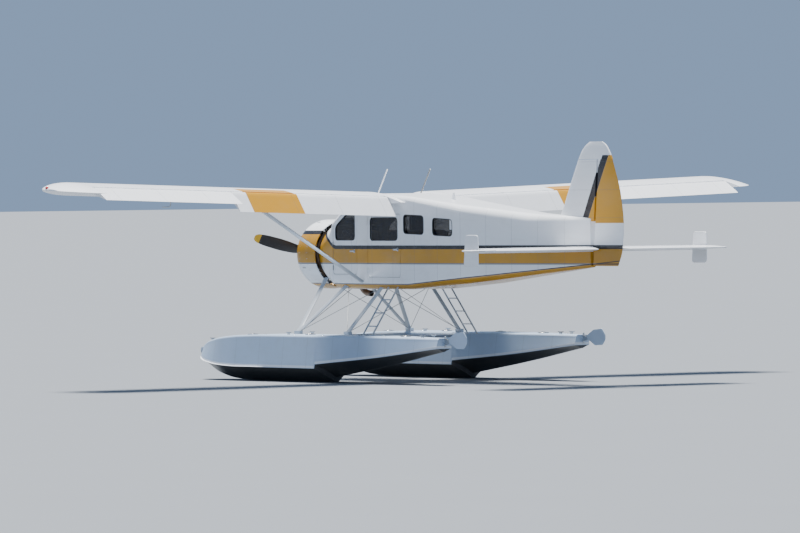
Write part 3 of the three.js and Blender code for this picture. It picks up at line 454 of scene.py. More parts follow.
# 1 between two lines, with soft edges
def between(tree, value, low, high, soft=0.004):
    under = ramp(tree, value, calc(tree, "SUBTRACT", low, soft), calc(tree, "ADD", low, soft))
    over = ramp(tree, value, calc(tree, "SUBTRACT", high, soft), calc(tree, "ADD", high, soft))
    return calc(tree, "SUBTRACT", under, over)


# A straight line's height at x, through two points (x0, z0) and (x1, z1)
def lineAt(tree, x, start, end):
    slope = (end[1] - start[1]) / (end[0] - start[0])
    return calc(tree, "ADD", calc(tree, "MULTIPLY", x, slope), start[1] - slope * start[0])


fuselageScheme = dict(
    top=2.30, bottom=2.055, rise=0.26, riseFrom=2.36, riseTo=2.92, darkLine=0.062, thinLine=0.022,
    bellyLow=1.68, bellyLine=((0.2, 1.68), (-4.32, 2.03)), bellyDark=0.016,
)


# White above and below a gold stripe that climbs towards the nose, with a dark line over it and a thin one
# under it; gold again below the belly's line. Faces that look into the cabin carry "inside" and take the
# lining's grey
def fuselageColours(tree, where, x, y, z):
    s = fuselageScheme
    top = calc(tree, "ADD", ramp(tree, x, s["riseFrom"], s["riseTo"], (0.0, s["rise"])), s["top"])
    stripe = between(tree, z, s["bottom"], top)
    darkTop = between(tree, z, calc(tree, "SUBTRACT", top, 0.005), calc(tree, "ADD", top, s["darkLine"]))
    darkUnder = between(tree, z, s["bottom"] - s["thinLine"], s["bottom"], 0.003)
    belly = calc(tree, "MAXIMUM", lineAt(tree, x, *s["bellyLine"]), s["bellyLow"])
    low = ramp(tree, z, calc(tree, "ADD", belly, 0.004), calc(tree, "SUBTRACT", belly, 0.004))
    lowDark = between(tree, z, belly, calc(tree, "ADD", belly, s["bellyDark"]))
    worn = ramp(tree, noise(tree, where, 1.1, 2.0), 0.3, 0.7)
    gold = mix(tree, worn, paint["gold"], paint["deepGold"])
    colour = mix(tree, calc(tree, "MAXIMUM", stripe, low), paint["white"], gold)
    lines = calc(tree, "MAXIMUM", darkTop, calc(tree, "MULTIPLY", darkUnder, 0.8))
    outside = mix(tree, calc(tree, "MAXIMUM", lines, lowDark), colour, paint["dark"])
    return mix(tree, attribute(tree, "inside"), outside, paint["lining"])


wingScheme = dict(port=(2.64, 3.70), starboard=(2.96, 3.70), paintedGlareEdge=1.0, softness=0.004)


# White, with a gold band on each wing from the middle of its chord aft; ahead of that the band is left white,
# a painted highlight standing in for glare on the band's front
def wingColours(tree, where, x, y, z):
    s = wingScheme
    starboard = between(tree, calc(tree, "MULTIPLY", y, -1.0), *s["starboard"])
    bands = calc(tree, "ADD", between(tree, y, *s["port"]), starboard)
    # Ahead of this edge the band stays white: painted highlight for glare
    aft = ramp(tree, x, s["paintedGlareEdge"] + s["softness"], s["paintedGlareEdge"] - s["softness"])
    return mix(tree, calc(tree, "MULTIPLY", bands, aft), paint["white"], paint["gold"])


tailScheme = dict(line=((-4.245, 2.80), (-4.753, 3.805)), dark=0.165, gold=(2.73, 3.87), stripeTo=2.5)


# White fin, then a dark slanting band, and gold aft of it under a white cap; the foot carries the
# fuselage's stripe on
def tailColours(tree, where, x, y, z):
    s = tailScheme
    (x0, z0), (x1, z1) = s["line"]
    edge = lineAt(tree, z, (z0, x0), (z1, x1))
    aft = calc(tree, "SUBTRACT", edge, x)
    high = between(tree, z, *s["gold"])
    gold = calc(tree, "MULTIPLY", ramp(tree, aft, -0.004, 0.004), high)
    dark = calc(tree, "MULTIPLY", between(tree, aft, -s["dark"], 0.0), high)
    foot = ramp(tree, z, s["stripeTo"] + 0.01, s["stripeTo"])
    colour = mix(tree, foot, paint["white"], fuselageColours(tree, where, x, y, z))
    return mix(tree, dark, mix(tree, gold, colour, paint["gold"]), paint["dark"])


# One colour, a little darker in soft blotches
def plain(colour):
    def scheme(tree, where, x, y, z):
        blotch = ramp(tree, noise(tree, where, 1.7, 3.0), 0.35, 0.75, (0.0, 0.18))
        return mix(tree, blotch, colour, shaded(colour, 0.8))
    return scheme


# Floats: silver with a blue cast that is painted reflection of the sky, near-black bottoms that are painted
# shade of the undersides, and a lighter strip along the chines. The hull carries its points' height above the
# chine, and other pieces have none, which reads as 0
def floatColours(tree, where, x, y, z):
    height = attribute(tree, "aboveChine")
    worn = ramp(tree, noise(tree, where, 0.9, 4.0), 0.4, 0.7, (0.0, 0.35))
    # The floats' silver, its blue cast painted reflection of the sky, duller in random patches
    base = mix(tree, worn, paint["silver"], paint["dullSilver"])
    strip = calc(tree, "MULTIPLY", between(tree, height, 0.004, 0.045), 0.6)
    base = mix(tree, strip, base, paint["white"])
    # Near-black below the chines: painted shade of the undersides
    return mix(tree, ramp(tree, height, -0.001, -0.006), base, paint["bottom"])


# Seams are an axis and their spacing; rivets are the axis that they follow, the axis of their rows, their
# pitch and the rows' spacing
whiteScheme = plain(paint["white"])
skin = sheetMetal("fuselagePaint", fuselageColours, ("x", 0.62), ("z", "x", 0.035, 0.62))
wingSkin = sheetMetal("wingPaint", wingColours, ("y", 0.92), ("x", "y", 0.035, 0.46), soil=0.16)
tailSkin = sheetMetal("tailPaint", tailColours, ("z", 0.47), ("x", "z", 0.035, 0.235), soil=0.16)
tailplaneSkin = sheetMetal("tailplanePaint", whiteScheme, ("y", 0.62), ("x", "y", 0.035, 0.31))
whitePaint = sheetMetal("whitePaint", whiteScheme, soil=0.2, taut=0.1)
cowlPaint = sheetMetal("cowlPaint", fuselageColours, soil=0.25, taut=0.2)
floatSkin = sheetMetal("floatPaint", floatColours, ("x", 0.73), ("z", "x", 0.04, 0.365),
                       soil=0.3, clean=0.32, Metallic=0.15)
strutPaint = sheetMetal("strutPaint", plain(paint["strut"]), soil=0.3, taut=0.1, clean=0.3, Metallic=0.3)


# Metals, plain paints, rubber and trim: fine grain in roughness, with heat, oil or wear as stains
def metal(name, colour, rough, metallic=1.0, stain=0.25, stainColour=(0.12, 0.10, 0.08, 1), fine=90.0):
    made, tree, inputs = finish(name, Metallic=metallic)
    where = coordinates(tree)[0]
    mark = calc(tree, "MULTIPLY", ramp(tree, noise(tree, where, 5.0, 6.0, 0.65), 0.45, 0.75), stain)
    tree.links.new(mix(tree, mark, colour, stainColour), inputs["Base Color"])
    grain = noise(tree, where, fine, 3.0)
    worn = calc(tree, "ADD", calc(tree, "MULTIPLY", grain, 0.5), mark)
    tree.links.new(ramp(tree, worn, 0.1, 1.1, (rough * 0.8, rough * 1.7)), inputs["Roughness"])
    bump(tree, inputs, grain, 0.12, 0.001)
    return made


steel = metal("bareMetal", (0.46, 0.48, 0.50, 1), rough=0.32)
wireSteel = metal("wireMetal", (0.20, 0.21, 0.22, 1), rough=0.62, metallic=0.6)
castMetal = metal("engineMetal", (0.23, 0.235, 0.24, 1), rough=0.5, metallic=0.8, stain=0.45)
engineGrey = metal("crankcasePaint", (0.20, 0.22, 0.235, 1), rough=0.42, metallic=0.25, stain=0.35)
burntSteel = metal("burntSteel", (0.26, 0.19, 0.14, 1), rough=0.55, metallic=0.85, stain=0.6,
                   stainColour=(0.10, 0.05, 0.03, 1))
blackPaint = metal("blackPaint", (0.022, 0.022, 0.025, 1), rough=0.42, metallic=0.0, stain=0.2,
                   stainColour=(0.05, 0.045, 0.04, 1))
rubber = metal("rubber", (0.02, 0.02, 0.021, 1), rough=0.62, metallic=0.0, stain=0.3,
               stainColour=(0.05, 0.048, 0.045, 1), fine=160.0)
trim = metal("cabinTrim", (0.24, 0.25, 0.26, 1), rough=0.7, metallic=0.0, stain=0.2,
             stainColour=(0.16, 0.16, 0.16, 1), fine=300.0)


# Lightly dusty glass: a sheet of the given colour, part clear by its alpha
def glassFinish(name, colour, alpha, dustColour=(0.055, 0.06, 0.065, 1), rough=0.04):
    made, tree, inputs = finish(name, **{"IOR": 1.45, "Metallic": 0.0, "Transmission Weight": 0.0})
    dust = ramp(tree, noise(tree, coordinates(tree)[0], 7.0, 5.0, 0.6), 0.5, 0.85, (0.0, 0.35))
    tree.links.new(mix(tree, dust, colour, dustColour), inputs["Base Color"])
    tree.links.new(ramp(tree, dust, 0.0, 0.35, (rough, rough + 0.14)), inputs["Roughness"])
    tree.links.new(ramp(tree, dust, 0.0, 0.35, (alpha, min(1, alpha + 0.1))), inputs["Alpha"])
    return made


# The windows' near-black colour at about half cover is painted shade of the dark cabin behind, over a faint
# blue tint
glass = glassFinish("windowGlass", (0.003, 0.007, 0.018, 1), alpha=0.52)
redLens = glassFinish("redLens", (0.5, 0.01, 0.01, 1), alpha=0.9)
greenLens = glassFinish("greenLens", (0.01, 0.32, 0.09, 1), alpha=0.9)
clearLens = glassFinish("clearLens", (0.7, 0.75, 0.8, 1), alpha=0.45)


# Leather: raised cells of grain, darker in the creases between them
def leatherFinish(name, colour, dark):
    made, tree, inputs = finish(name, **{"Coat Weight": 0.08, "Coat Roughness": 0.4})
    where = coordinates(tree)[0]
    cells = tree.nodes.new("ShaderNodeTexVoronoi")
    cells.feature = "DISTANCE_TO_EDGE"
    cells.inputs["Scale"].default_value = 190.0
    tree.links.new(where, cells.inputs["Vector"])
    crease = ramp(tree, cells.outputs[0], 0.0, 0.09)
    worn = ramp(tree, noise(tree, where, 6.0, 5.0, 0.6), 0.4, 0.75)
    base = mix(tree, worn, colour, shaded(colour, 1.35))
    tree.links.new(mix(tree, crease, dark, base), inputs["Base Color"])
    tree.links.new(ramp(tree, worn, 0.0, 1.0, (0.55, 0.38)), inputs["Roughness"])
    bump(tree, inputs, crease, 0.35, 0.0015)
    return made


leather = leatherFinish("seatLeather", (0.115, 0.062, 0.034, 1), (0.03, 0.017, 0.01, 1))
print("finishes made")


# Fuselage: rounded rectangles. Columns: station, half width, top, bottom, top corner radius, bottom corner
# radius. A face looks a way when that part of its normal is over "facing"; one that looks down is lined over
# headZ, and one that looks aft ahead of firewallX
fuselage = dict(
    nose=[[1060, 500, 500, -500, 499, 499], [1250, 540, 548, -560, 420, 420],
          [1450, 560, 570, -592, 300, 300]], noseEnd=1449.6,
    tail=[[5300, 520, 850, -500, 140, 150], [6900, 295, 700, -355, 150, 120], [8380, 62, 622, -215, 58, 58]],
    cabin=[[1450, 560], [1560, 575], [2200, 608], [2500, 612], [2950, 612], [3840, 610], [5300, 520]],
    tops=[[1450, 570], [1560, 625], [2200, 985], [2500, 1046], [2950, 1062], [3840, 1010], [5300, 850]],
    facing=0.5, headZ=2.3, firewallX=1.85, panelBevel=0.0016, floorBevel=0.002,
)


# Each corner is a quarter circle: y = side * (half width - r) + r cos, height = edge -+ r + r sin
def fuselageRings(rows, cornerSteps):
    rows = np.asarray(rows, float)
    angle = (np.arange(4)[:, None] + np.linspace(0, 1, cornerSteps + 1)[None]) * np.pi / 2
    sideY, upper = np.array([1, -1, -1, 1])[:, None], np.array([1, 1, 0, 0])[:, None]
    half, top, bottom, topR, bottomR = (rows[:, k, None, None] for k in range(1, 6))
    radius = np.where(upper, topR, bottomR)
    y = sideY * (half - radius) + radius * np.cos(angle)
    height = np.where(upper, top - radius, bottom + radius) + radius * np.sin(angle)
    return place(np.broadcast_to(rows[:, 0, None, None], y.shape), y, height).reshape(len(rows), -1, 3)


# A table's rows at even steps along its first column, by smooth cubics or straight lines
def resample(table, steps, smooth=True):
    table = np.asarray(table, float)
    at = np.linspace(table[0, 0], table[-1, 0], steps)
    if smooth:
        return np.column_stack([at, smoothTable(table, at)])
    return np.column_stack([at] + [np.interp(at, table[:, 0], column) for column in table.T[1:]])


# Marks the faces that look into the cabin: sideways to the middle, down from overhead, or aft in the nose
def lined(made):
    f = fuselage
    normal, middle = (np.empty(len(made.data.polygons) * 3) for _ in range(2))
    made.data.polygons.foreach_get("normal", normal)
    made.data.polygons.foreach_get("center", middle)
    (nx, ny, nz), (x, y, z) = normal.reshape(-1, 3).T, middle.reshape(-1, 3).T
    sideways, down, aft = (v < -f["facing"] for v in (ny * np.sign(y), nz, nx))
    inside = sideways | down & (z > f["headZ"]) | aft & (x > f["firewallX"])
    made.data.attributes.new("inside", "FLOAT", "FACE").data.foreach_set("value", inside.astype(np.float32))


noseRows = resample(fuselage["nose"], 26)
noseRows[-1, 0] = fuselage["noseEnd"]
lined(piece("nose_skin", [loft(fuselageRings(noseRows, 16))], skin, replaces=("nose_fairing",)))
tailRows = resample(fuselage["tail"], 40, smooth=False)
piece("tail_skin", [loft(fuselageRings(tailRows, 12))], skin, replaces=("tail_cone",))
for node in ("cabin_belly", "cabin_side_left", "cabin_side_right", "cabin_roof", "windscreen_frame",
             "crew_door_left", "crew_door_right", "cabin_door_left", "cabin_door_right"):
    lined(smoothCopy(node, skin, bevel=fuselage["panelBevel"]))
for node in ("cabin_floor", "rear_bulkhead"):
    smoothCopy(node, trim, bevel=fuselage["floorBevel"])
print("fuselage made")


# Half the cabin's width at a station
def skinY(station):
    return np.interp(station, *np.array(fuselage["cabin"]).T)


# An outline in station and height with rounded corners: each corner is a quadratic curve from edge to edge,
# (1 - t)^2 a + 2 t (1 - t) corner + t^2 b
def roundedOutline(corners, radius, steps=6):
    corners = np.asarray(corners, float)
    before, after = np.roll(corners, 1, 0) - corners, np.roll(corners, -1, 0) - corners
    before /= np.linalg.norm(before, axis=1, keepdims=True)
    after /= np.linalg.norm(after, axis=1, keepdims=True)
    t = np.linspace(0, 1, steps)[None, :, None]
    p, a, b = corners[:, None], (corners + before * radius)[:, None], (corners + after * radius)[:, None]
    return ((1 - t) ** 2 * a + 2 * t * (1 - t) * p + t**2 * b).reshape(-1, 2)


# Dark frames round the windows, outlined in station and height. The lip's columns: outset from the
# opening's edge, stand off the skin; the frame goes on inwards to a depth
windows = dict(
    crew=[[1680, 255], [2300, 255], [2300, 728], [2085, 728], [1680, 492]],
    cabinDoor=[[2775, 250], [3580, 250], [3580, 640], [2775, 640]],
    sideFront=[[3770, 370], [4310, 350], [4310, 670], [3770, 690]],
    sideRear=[[4560, 340], [5080, 320], [5080, 600], [4560, 630]],
    lip=[[0.3, -1], [10, -1], [10, 2.5], [8, 4.2], [0, 4.5], [-2.5, 3]],
    corner=70, doorDepth=-9.5, wallDepth=-34.5,
)


# The profile is carried along the outline: point = edge + outset * normal, at the skin's y + stand
def frameRound(outline, sign, depth):
    edge = roundedOutline(outline, windows["corner"])
    tangent = np.roll(edge, -1, 0) - np.roll(edge, 1, 0)
    normal = np.stack([tangent[:, 1], -tangent[:, 0]], -1) / np.linalg.norm(tangent, axis=1, keepdims=True)
    normal *= np.sign(np.sum(normal * (edge - edge.mean(0))))
    lip = windows["lip"]
    profile = np.array(lip + [[lip[-1][0], depth], [lip[0][0], depth]], float)
    at = edge[:, None] + profile[:, :1] * normal[:, None]
    return loft(place(at[..., 0], sign * (skinY(at[..., 0]) + profile[:, 1]), at[..., 1]), wrap=True)


for side, sign in sides:
    crewFrame = frameRound(windows["crew"], sign, windows["doorDepth"])
    cabinFrame = frameRound(windows["cabinDoor"], sign, windows["doorDepth"])
    wallFrames = [frameRound(windows[name], sign, windows["wallDepth"]) for name in ("sideFront", "sideRear")]
    piece(f"crew_window_frame_{side}", [crewFrame], rubber, f"crew_door_{side}", "dark_metal")
    piece(f"cabin_window_frame_{side}", [cabinFrame], rubber, f"cabin_door_{side}", "dark_metal")
    piece(f"side_window_frames_{side}", wallFrames, rubber, slot="dark_metal")
for node in [name for name in frame["nodes"] if "glass" in name] + ["windscreen"]:
    frame["nodes"][node].data.materials.clear()
    frame["nodes"][node].data.materials.append(glass)

# Door handles, at (station, height): a lever on a round plate, near each door's rear edge. An off is how far
# a part starts from the skin, in millimetres; sizes are (length, radius) or (chord, thickness), in metres
doorHandles = dict(
    crew=(2288, 60), cabin=(3588, 90), plateOff=-2, plateSize=(0.010, 0.030), hubOff=6,
    hubSize=(0.012, 0.013), leverOff=18, leverFrom=20, leverTo=-112, leverSize=(0.031, 0.023),
    leverEnds=((0, 0.6), (0.05, 1), (0.95, 1), (1, 0.6)),
)


def doorHandle(station, height):
    d = doorHandles
    y = float(skinY(station))
    plate, hub = (post(place(station, y + d[f"{part}Off"], height), (0, 1, 0), *d[f"{part}Size"])
                  for part in ("plate", "hub"))
    start, end = (place(station + d[reach], y + d["leverOff"], height) for reach in ("leverFrom", "leverTo"))
    return [plate, hub, bar(start, end, *d["leverSize"], 16, d["leverEnds"])]


for door in ("crew", "cabin"):
    pair(f"{door}_door_handle", doorHandle(*doorHandles[door]), steel, f"{door}_door", slot="bare_metal")

# Wing: the four-digit section formula, placed by incidence and dihedral about its pivot. Spans are y. The
# tip's ring at t of its length keeps the share sqrt(1 - tipFlat t^2) of the chord, never under tipLeast
wing = dict(
    leading=2250, chord=1588, pivot=0.3, pivotHeight=930, incidence=2.5, dihedral=2.0, thickness=0.14,
    camber=0.02, trailing=0.997, hinge=0.74, hingeGap=8, root=(584, 640, 690), bay=(712, 6768), tip=6800,
    half=7315, tipFlat=0.94, tipLeast=0.2, tipSweep=0.45, tipThin=0.35,
    flap=(728, 3986), aileron=(3994, 6760), flapDroop=38.0, aileronDroop=16.0,
)


# x along the chord, y = camber line + side * half thickness, which is 5 thickness times the square root and
# powers of x below; the camber line is two parabolas that meet at 0.4 of the chord
def sectionPoint(x, side, chord=wing["chord"], thickness=wing["thickness"]):
    x = np.asarray(x, float)
    half = 5 * thickness * (0.2969 * np.sqrt(x) - 0.126 * x - 0.3516 * x**2 + 0.2843 * x**3 - 0.1036 * x**4)
    line = wing["camber"] * np.where(x < 0.4, (0.8 * x - x * x) / 0.16, (0.2 + 0.8 * x - x * x) / 0.36)
    return np.stack([x * chord, (line + side * half) * chord], -1)


# The section is turned by the incidence about the pivot and raised by the dihedral's slope times y
def wingPlace(local, y, shift=0.0):
    w = wing
    turn, rise = math.radians(w["incidence"]), math.tan(math.radians(w["dihedral"]))
    x = local[..., 0] + shift - w["pivot"] * w["chord"]
    station = w["leading"] + w["pivot"] * w["chord"] + x * math.cos(turn) + local[..., 1] * math.sin(turn)
    height = w["pivotHeight"] + local[..., 1] * math.cos(turn) - x * math.sin(turn) + y * rise
    return place(station, y, height)


hingeTop, hingeBottom = (sectionPoint(wing["hinge"], side) for side in (1, -1))
hingeNose = (hingeTop[1] - hingeBottom[1]) / 2 - 1
hingePoint = (hingeTop + hingeBottom) / 2
bayFraction = (hingePoint[0] - hingeNose - wing["hingeGap"]) / wing["chord"]


# One ring: aft upper skin, round the leading edge, aft lower skin. In the bay the aft points stand on the
# bay's wall
def wingRing(y, chord=wing["chord"], shift=0.0, thickness=wing["thickness"], bay=False):
    frontSteps, aftSteps = 30, 14
    front = (1 - np.cos(np.pi * np.linspace(0, 1, frontSteps + 1))) / 2 * bayFraction
    aft = bayFraction + (wing["trailing"] - bayFraction) * np.linspace(1, 0, aftSteps + 1)[:-1]
    if bay:
        upper, lower = (sectionPoint(bayFraction, side, chord, thickness) for side in (1, -1))
        t = np.linspace(0.5, 1, aftSteps + 1)[:-1, None]
        top, bottom = lower + (upper - lower) * t, (upper + (lower - upper) * t)[::-1]
    else:
        top, bottom = sectionPoint(aft, 1, chord, thickness), sectionPoint(aft[::-1], -1, chord, thickness)
    noseTop = sectionPoint(front[::-1], 1, chord, thickness)
    noseBottom = sectionPoint(front[1:], -1, chord, thickness)
    return wingPlace(np.vstack([top, noseTop, noseBottom, bottom]), y, shift)


def wingRings():
    w = wing
    start, end = w["bay"]
    rings = [wingRing(y) for y in (*w["root"], start)]
    rings += [wingRing(y, bay=True) for y in np.linspace(start, end, 34)]
    rings += [wingRing(end)]
    for t in np.sin(np.linspace(0, np.pi / 2, 16)):
        left = max(w["tipLeast"], math.sqrt(1 - w["tipFlat"] * t * t))
        chord = w["chord"] * left
        thickness = w["thickness"] * (w["tipThin"] + (1 - w["tipThin"]) * left)
        y, shift = w["tip"] + t * (w["half"] - w["tip"]), (w["chord"] - chord) * w["tipSweep"]
        rings.append(wingRing(y, chord, shift, thickness))
    return np.array(rings)


# A flap or aileron: a round nose about the hinge, then the section's own skins to the trailing edge, turned
# by its setting
def trailingRings(y0, y1, setting, steps=24):
    angle = np.radians(90 + np.linspace(0, 180, 19))
    nose = hingePoint + hingeNose * np.stack([np.cos(angle), np.sin(angle)], -1)
    back = np.linspace(0, 1, 15)[1:]
    edgeTop, edgeBottom = (sectionPoint(wing["trailing"], side) for side in (1, -1))
    lower = nose[-1] + (edgeBottom - nose[-1]) * back[:, None]
    upper = edgeTop + (nose[0] - edgeTop) * (1 - back[::-1, None])
    x, up = (np.vstack([nose, lower, upper[:-1]]) - hingePoint).T
    turn = math.radians(setting)
    c, s = math.cos(turn), math.sin(turn)
    drooped = np.stack([x * c + up * s, up * c - x * s], -1) + hingePoint
    return np.array([wingPlace(drooped, y) for y in np.linspace(y0, y1, steps)])


# Fillet between roof and wing, a thin closed sheet: top = roof + (wing top - roof) k + 2, k = the
# smoothstep of y across the blend, with its edges bent down
fillet = dict(stations=(2275, 3720), across=(450, 652), blendFrom=460, blendWidth=165, depth=14,
              edges=([450, 462, 640, 652], [-3, 2, 2, -3]))


def rootFillet():
    w, f = wing, fillet
    station, y = np.linspace(*f["stations"], 60)[:, None], np.linspace(*f["across"], 20)[None]
    x = (station - w["leading"]) / w["chord"]
    fall = (x - w["pivot"]) * w["chord"] * math.sin(math.radians(w["incidence"]))
    upper = w["pivotHeight"] + sectionPoint(x, 1)[..., 1]
    wingTop = upper - fall + y * math.tan(math.radians(w["dihedral"]))
    roof = np.interp(station, *np.array(fuselage["tops"]).T)
    t = np.clip((y - f["blendFrom"]) / f["blendWidth"], 0, 1)
    top = roof + (wingTop - roof) * t * t * (3 - 2 * t) + np.interp(y, *f["edges"])
    y = np.broadcast_to(y, top.shape)
    return loft(place(station, np.hstack([y, y[:, ::-1]]), np.hstack([top, top[:, ::-1] - f["depth"]])))


pair("wing_skin", [loft(wingRings())], wingSkin, replaces="wing", sharp=40)
pair("wing_root_fillet", [rootFillet()], skin, sharp=40)
for name in ("flap", "aileron"):
    surface = loft(trailingRings(*wing[name], wing[f"{name}Droop"]))
    pair(f"{name}_skin", [surface], wingSkin, name, replaces=name, sharp=40)
print("wing made")

# Tail surfaces, with z heights up from the thrust line. The fin's and rudder's columns begin with a height
# and the stabilizer's and elevator's with a y; then leading edge, trailing edge and half thickness, where
# they have them
tail = dict(
    hingeFoot=(8424, -200), hingeHead=(8600, 1640), rudderNose=34, elevatorHinge=8440, elevatorNose=32,
    height=95, gap=8, trailingHalf=4, swell=3.5,
    fin=[[560, 7380, 52], [700, 7500, 50], [1150, 7745, 46], [1598, 7990, 40]],
    rudder=[[-190, 9060], [80, 9180], [500, 9220], [1000, 9150], [1604, 8930]],
    rudderHorn=[[1604, 7992, 8930, 40], [1720, 8070, 8860, 36], [1840, 8200, 8760, 26],
                [1900, 8320, 8650, 12]],
    stabilizer=[[20, 7660, 46], [1200, 7810, 42], [2420, 7940, 34]],
    elevator=[[64, 8960], [1300, 8945], [2428, 8905]],
    elevatorHorn=[[2428, 7950, 8905, 34], [2450, 8010, 8880, 28], [2468, 8160, 8790, 16],
                  [2480, 8330, 8640, 6]],
    elevatorCut=27, finlet=[[7985, -170], [8392, -170], [8392, 360], [8040, 360]], finletY=2410, finletHalf=9,
    finletCorner=70,
)


# Half thickness = half * body * (1 - t) + rear * t + half * body * t / 4, where body = sqrt(1 - (1 - t)^2)
def lens(leading, trailing, half, rear, steps=22):
    t = 1 - np.cos(np.pi / 2 * np.linspace(0, 1, steps + 1))
    body = np.sqrt(np.maximum(0, 1 - (1 - t) ** 2))
    leading, trailing, half, rear = (np.asarray(v, float)[..., None] for v in (leading, trailing, half, rear))
    along = leading + t * (trailing - leading)
    off = half * body * (1 - t) + rear * t + half * 0.25 * body * t
    back = np.arange(steps, 0, -1)
    return np.concatenate([along, along[..., back]], -1), np.concatenate([off, -off[..., back]], -1)


# A round nose about the hinge, then skins that swell by a half wave of sine on their way to a thin trailing
# edge
def taper(hinge, trailing, nose, steps=16):
    hinge, trailing = (np.asarray(v, float)[..., None] for v in (hinge, trailing))
    angle = np.radians(90 + 180 * np.linspace(0, 1, 17))
    t = np.linspace(0, 1, steps + 1)[1:]
    skinOff = nose + (tail["trailingHalf"] - nose) * t + tail["swell"] * np.sin(np.pi * t)
    front = np.broadcast_to(hinge + nose * np.cos(angle), hinge.shape[:-1] + angle.shape)
    aft = hinge + (trailing - hinge) * t
    along = np.concatenate([front, aft, aft[..., ::-1]], -1)
    off = np.concatenate([nose * np.sin(angle), -skinOff, skinOff[::-1]])
    return along, np.broadcast_to(off, along.shape)


# The rudder's raked hinge line: its station at a height
def hingeAt(height):
    (s0, h0), (s1, h1) = tail["hingeFoot"], tail["hingeHead"]
    return s0 + (s1 - s0) * (np.asarray(height, float) - h0) / (h1 - h0)


# Sections stacked by height, or set side by side in y
def upright(rows, along, off):
    return loft(place(along, off, rows[:, :1]))


def level(rows, along, off):
    return loft(place(along, rows[:, :1], tail["height"] + off))


# A horn's rows, closer together towards its end: first + (last - first) sin
def hornRows(table, steps):
    first, last = table[0][0], table[-1][0]
    at = first + (last - first) * np.sin(np.linspace(0, np.pi / 2, steps))
    return np.column_stack([at, smoothTable(table, at)])


# A closed surface in front of a hinge: it stops a gap short of the nose behind it
def fixedSection(rows, hinge, nose):
    return lens(rows[:, 1], hinge - nose - tail["gap"], rows[:, 2], nose)


def hornSection(rows):
    return lens(rows[:, 1], rows[:, 2], rows[:, 3], tail["trailingHalf"])


finRows, rudderRows = resample(tail["fin"], 30), resample(tail["rudder"], 40)
fin = upright(finRows, *fixedSection(finRows, hingeAt(finRows[:, 0]), tail["rudderNose"]))
piece("fin_skin", [fin], tailSkin, replaces=("fin",), sharp=40)
rudder = upright(rudderRows, *taper(hingeAt(rudderRows[:, 0]), rudderRows[:, 1], tail["rudderNose"]))
rudderHornRows = hornRows(tail["rudderHorn"], 18)
rudderHorn = upright(rudderHornRows, *hornSection(rudderHornRows))
piece("rudder_skin", [rudder, rudderHorn], tailSkin, "rudder", "gold_paint", replaces=("rudder",), sharp=40)


# A plate: an outline in station and height between two values of y
def sidePlate(outline, y0, y1):
    return loft(np.array([place(outline[:, 0], y, outline[:, 1]) for y in (y0, y1)]))


stabilizerRows = resample(tail["stabilizer"], 24)
stabilizer = level(stabilizerRows, *fixedSection(stabilizerRows, tail["elevatorHinge"], tail["elevatorNose"]))
finletOutline = roundedOutline(tail["finlet"], tail["finletCorner"])
finlet = sidePlate(finletOutline, tail["finletY"] - tail["finletHalf"], tail["finletY"] + tail["finletHalf"])
pair("stabilizer_skin", [stabilizer], tailplaneSkin, replaces="stabilizer", sharp=40)
pair("finlet_skin", [finlet], whitePaint, bevel=0.006)


# Its inner end is cut on a slant for the rudder: y = inner + (station - hinge) tan of the cut
def elevatorShell(steps=30):
    inner, outer = tail["elevator"][0][0], tail["elevator"][-1][0]
    hinge = tail["elevatorHinge"]
    trailing = resample(tail["elevator"], steps)[:, 1]
    along, off = taper(np.full(steps, hinge), trailing, tail["elevatorNose"])
    cut = inner + np.maximum(0, along - hinge) * math.tan(math.radians(tail["elevatorCut"]))
    share = np.linspace(0, 1, steps)[:, None]
    return loft(place(along, cut + (outer - cut) * share, tail["height"] + off))


elevatorHornRows = hornRows(tail["elevatorHorn"], 16)
elevator = [elevatorShell(), level(elevatorHornRows, *hornSection(elevatorHornRows))]
for made, (side, sign) in zip(pair("elevator_skin", elevator, tailplaneSkin, sharp=40), sides):
    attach(made, "elevators")
    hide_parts(f"elevator_{side}")
print("tail made")


# Cowl: a closed wall turned about the thrust line, with bands over its joints, rows of fasteners and
# latches. A band's profile is (station offset, height off the skin); each row is its station and how many
# fasteners it has
cowl = dict(
    outer=[[398, 425], [383, 436], [381, 452], [392, 482], [440, 545], [510, 588], [600, 608], [700, 611],
           [810, 609], [940, 600], [1045, 588]],
    inner=[[1045, 576], [810, 590], [600, 590], [510, 570], [440, 515], [405, 440]], sides=128,
    lipPoints=3, seams=(600, 820), band=[[-14, -3], [-13, 1.6], [13, 1.6], [14, -3]], bandDepth=2,
    fasteners=((588, 36), (612, 36), (808, 36), (832, 36), (1030, 24)), fastenerStart=3,
    fastenerSize=(0.0035, 0.006), latches=8, latchStart=22.5, latchStations=(640, 730),
    latchSize=(0.014, 0.004),
)
axisOrigin = place(0, 0, 0)
aftward, forward = np.array([-1.0, 0, 0]), (1, 0, 0)


# The point at a radius and an angle up from port, moved aside along the circle
def radial(station, radius, degrees, aside=0.0):
    a = np.radians(degrees)
    return place(station, radius * np.cos(a) - aside * np.sin(a), radius * np.sin(a) + aside * np.cos(a))


# The points of a table of (station, radius, degrees past the given angle)
def radialPath(table, degrees):
    return [radial(station, radius, degrees + past) for station, radius, past in table]


def outwards(degrees):
    a = math.radians(degrees)
    return np.array([0, math.cos(a), math.sin(a)])


# Bolt heads: six-sided posts
def bolt(at, direction, length, radius):
    return post(at, direction, length, radius, 0.2, 6)


# The cowl's outer radius at a station, by straight lines behind its lip
def cowlRadius(station):
    return np.interp(station, *np.array(cowl["outer"][cowl["lipPoints"]:]).T)


# The band's outer line, closed by a straight one under it
def cowlBand(station):
    offset, stand = np.array(cowl["band"]).T
    along = station + offset
    radius = cowlRadius(along) + stand
    floor = radius.min() - cowl["bandDepth"]
    profile = np.vstack([np.stack([along, radius], -1), [[along[-1], floor], [along[0], floor]]])
    return turned(profile / 1000, axisOrigin, aftward, cowl["sides"], wrap=True)


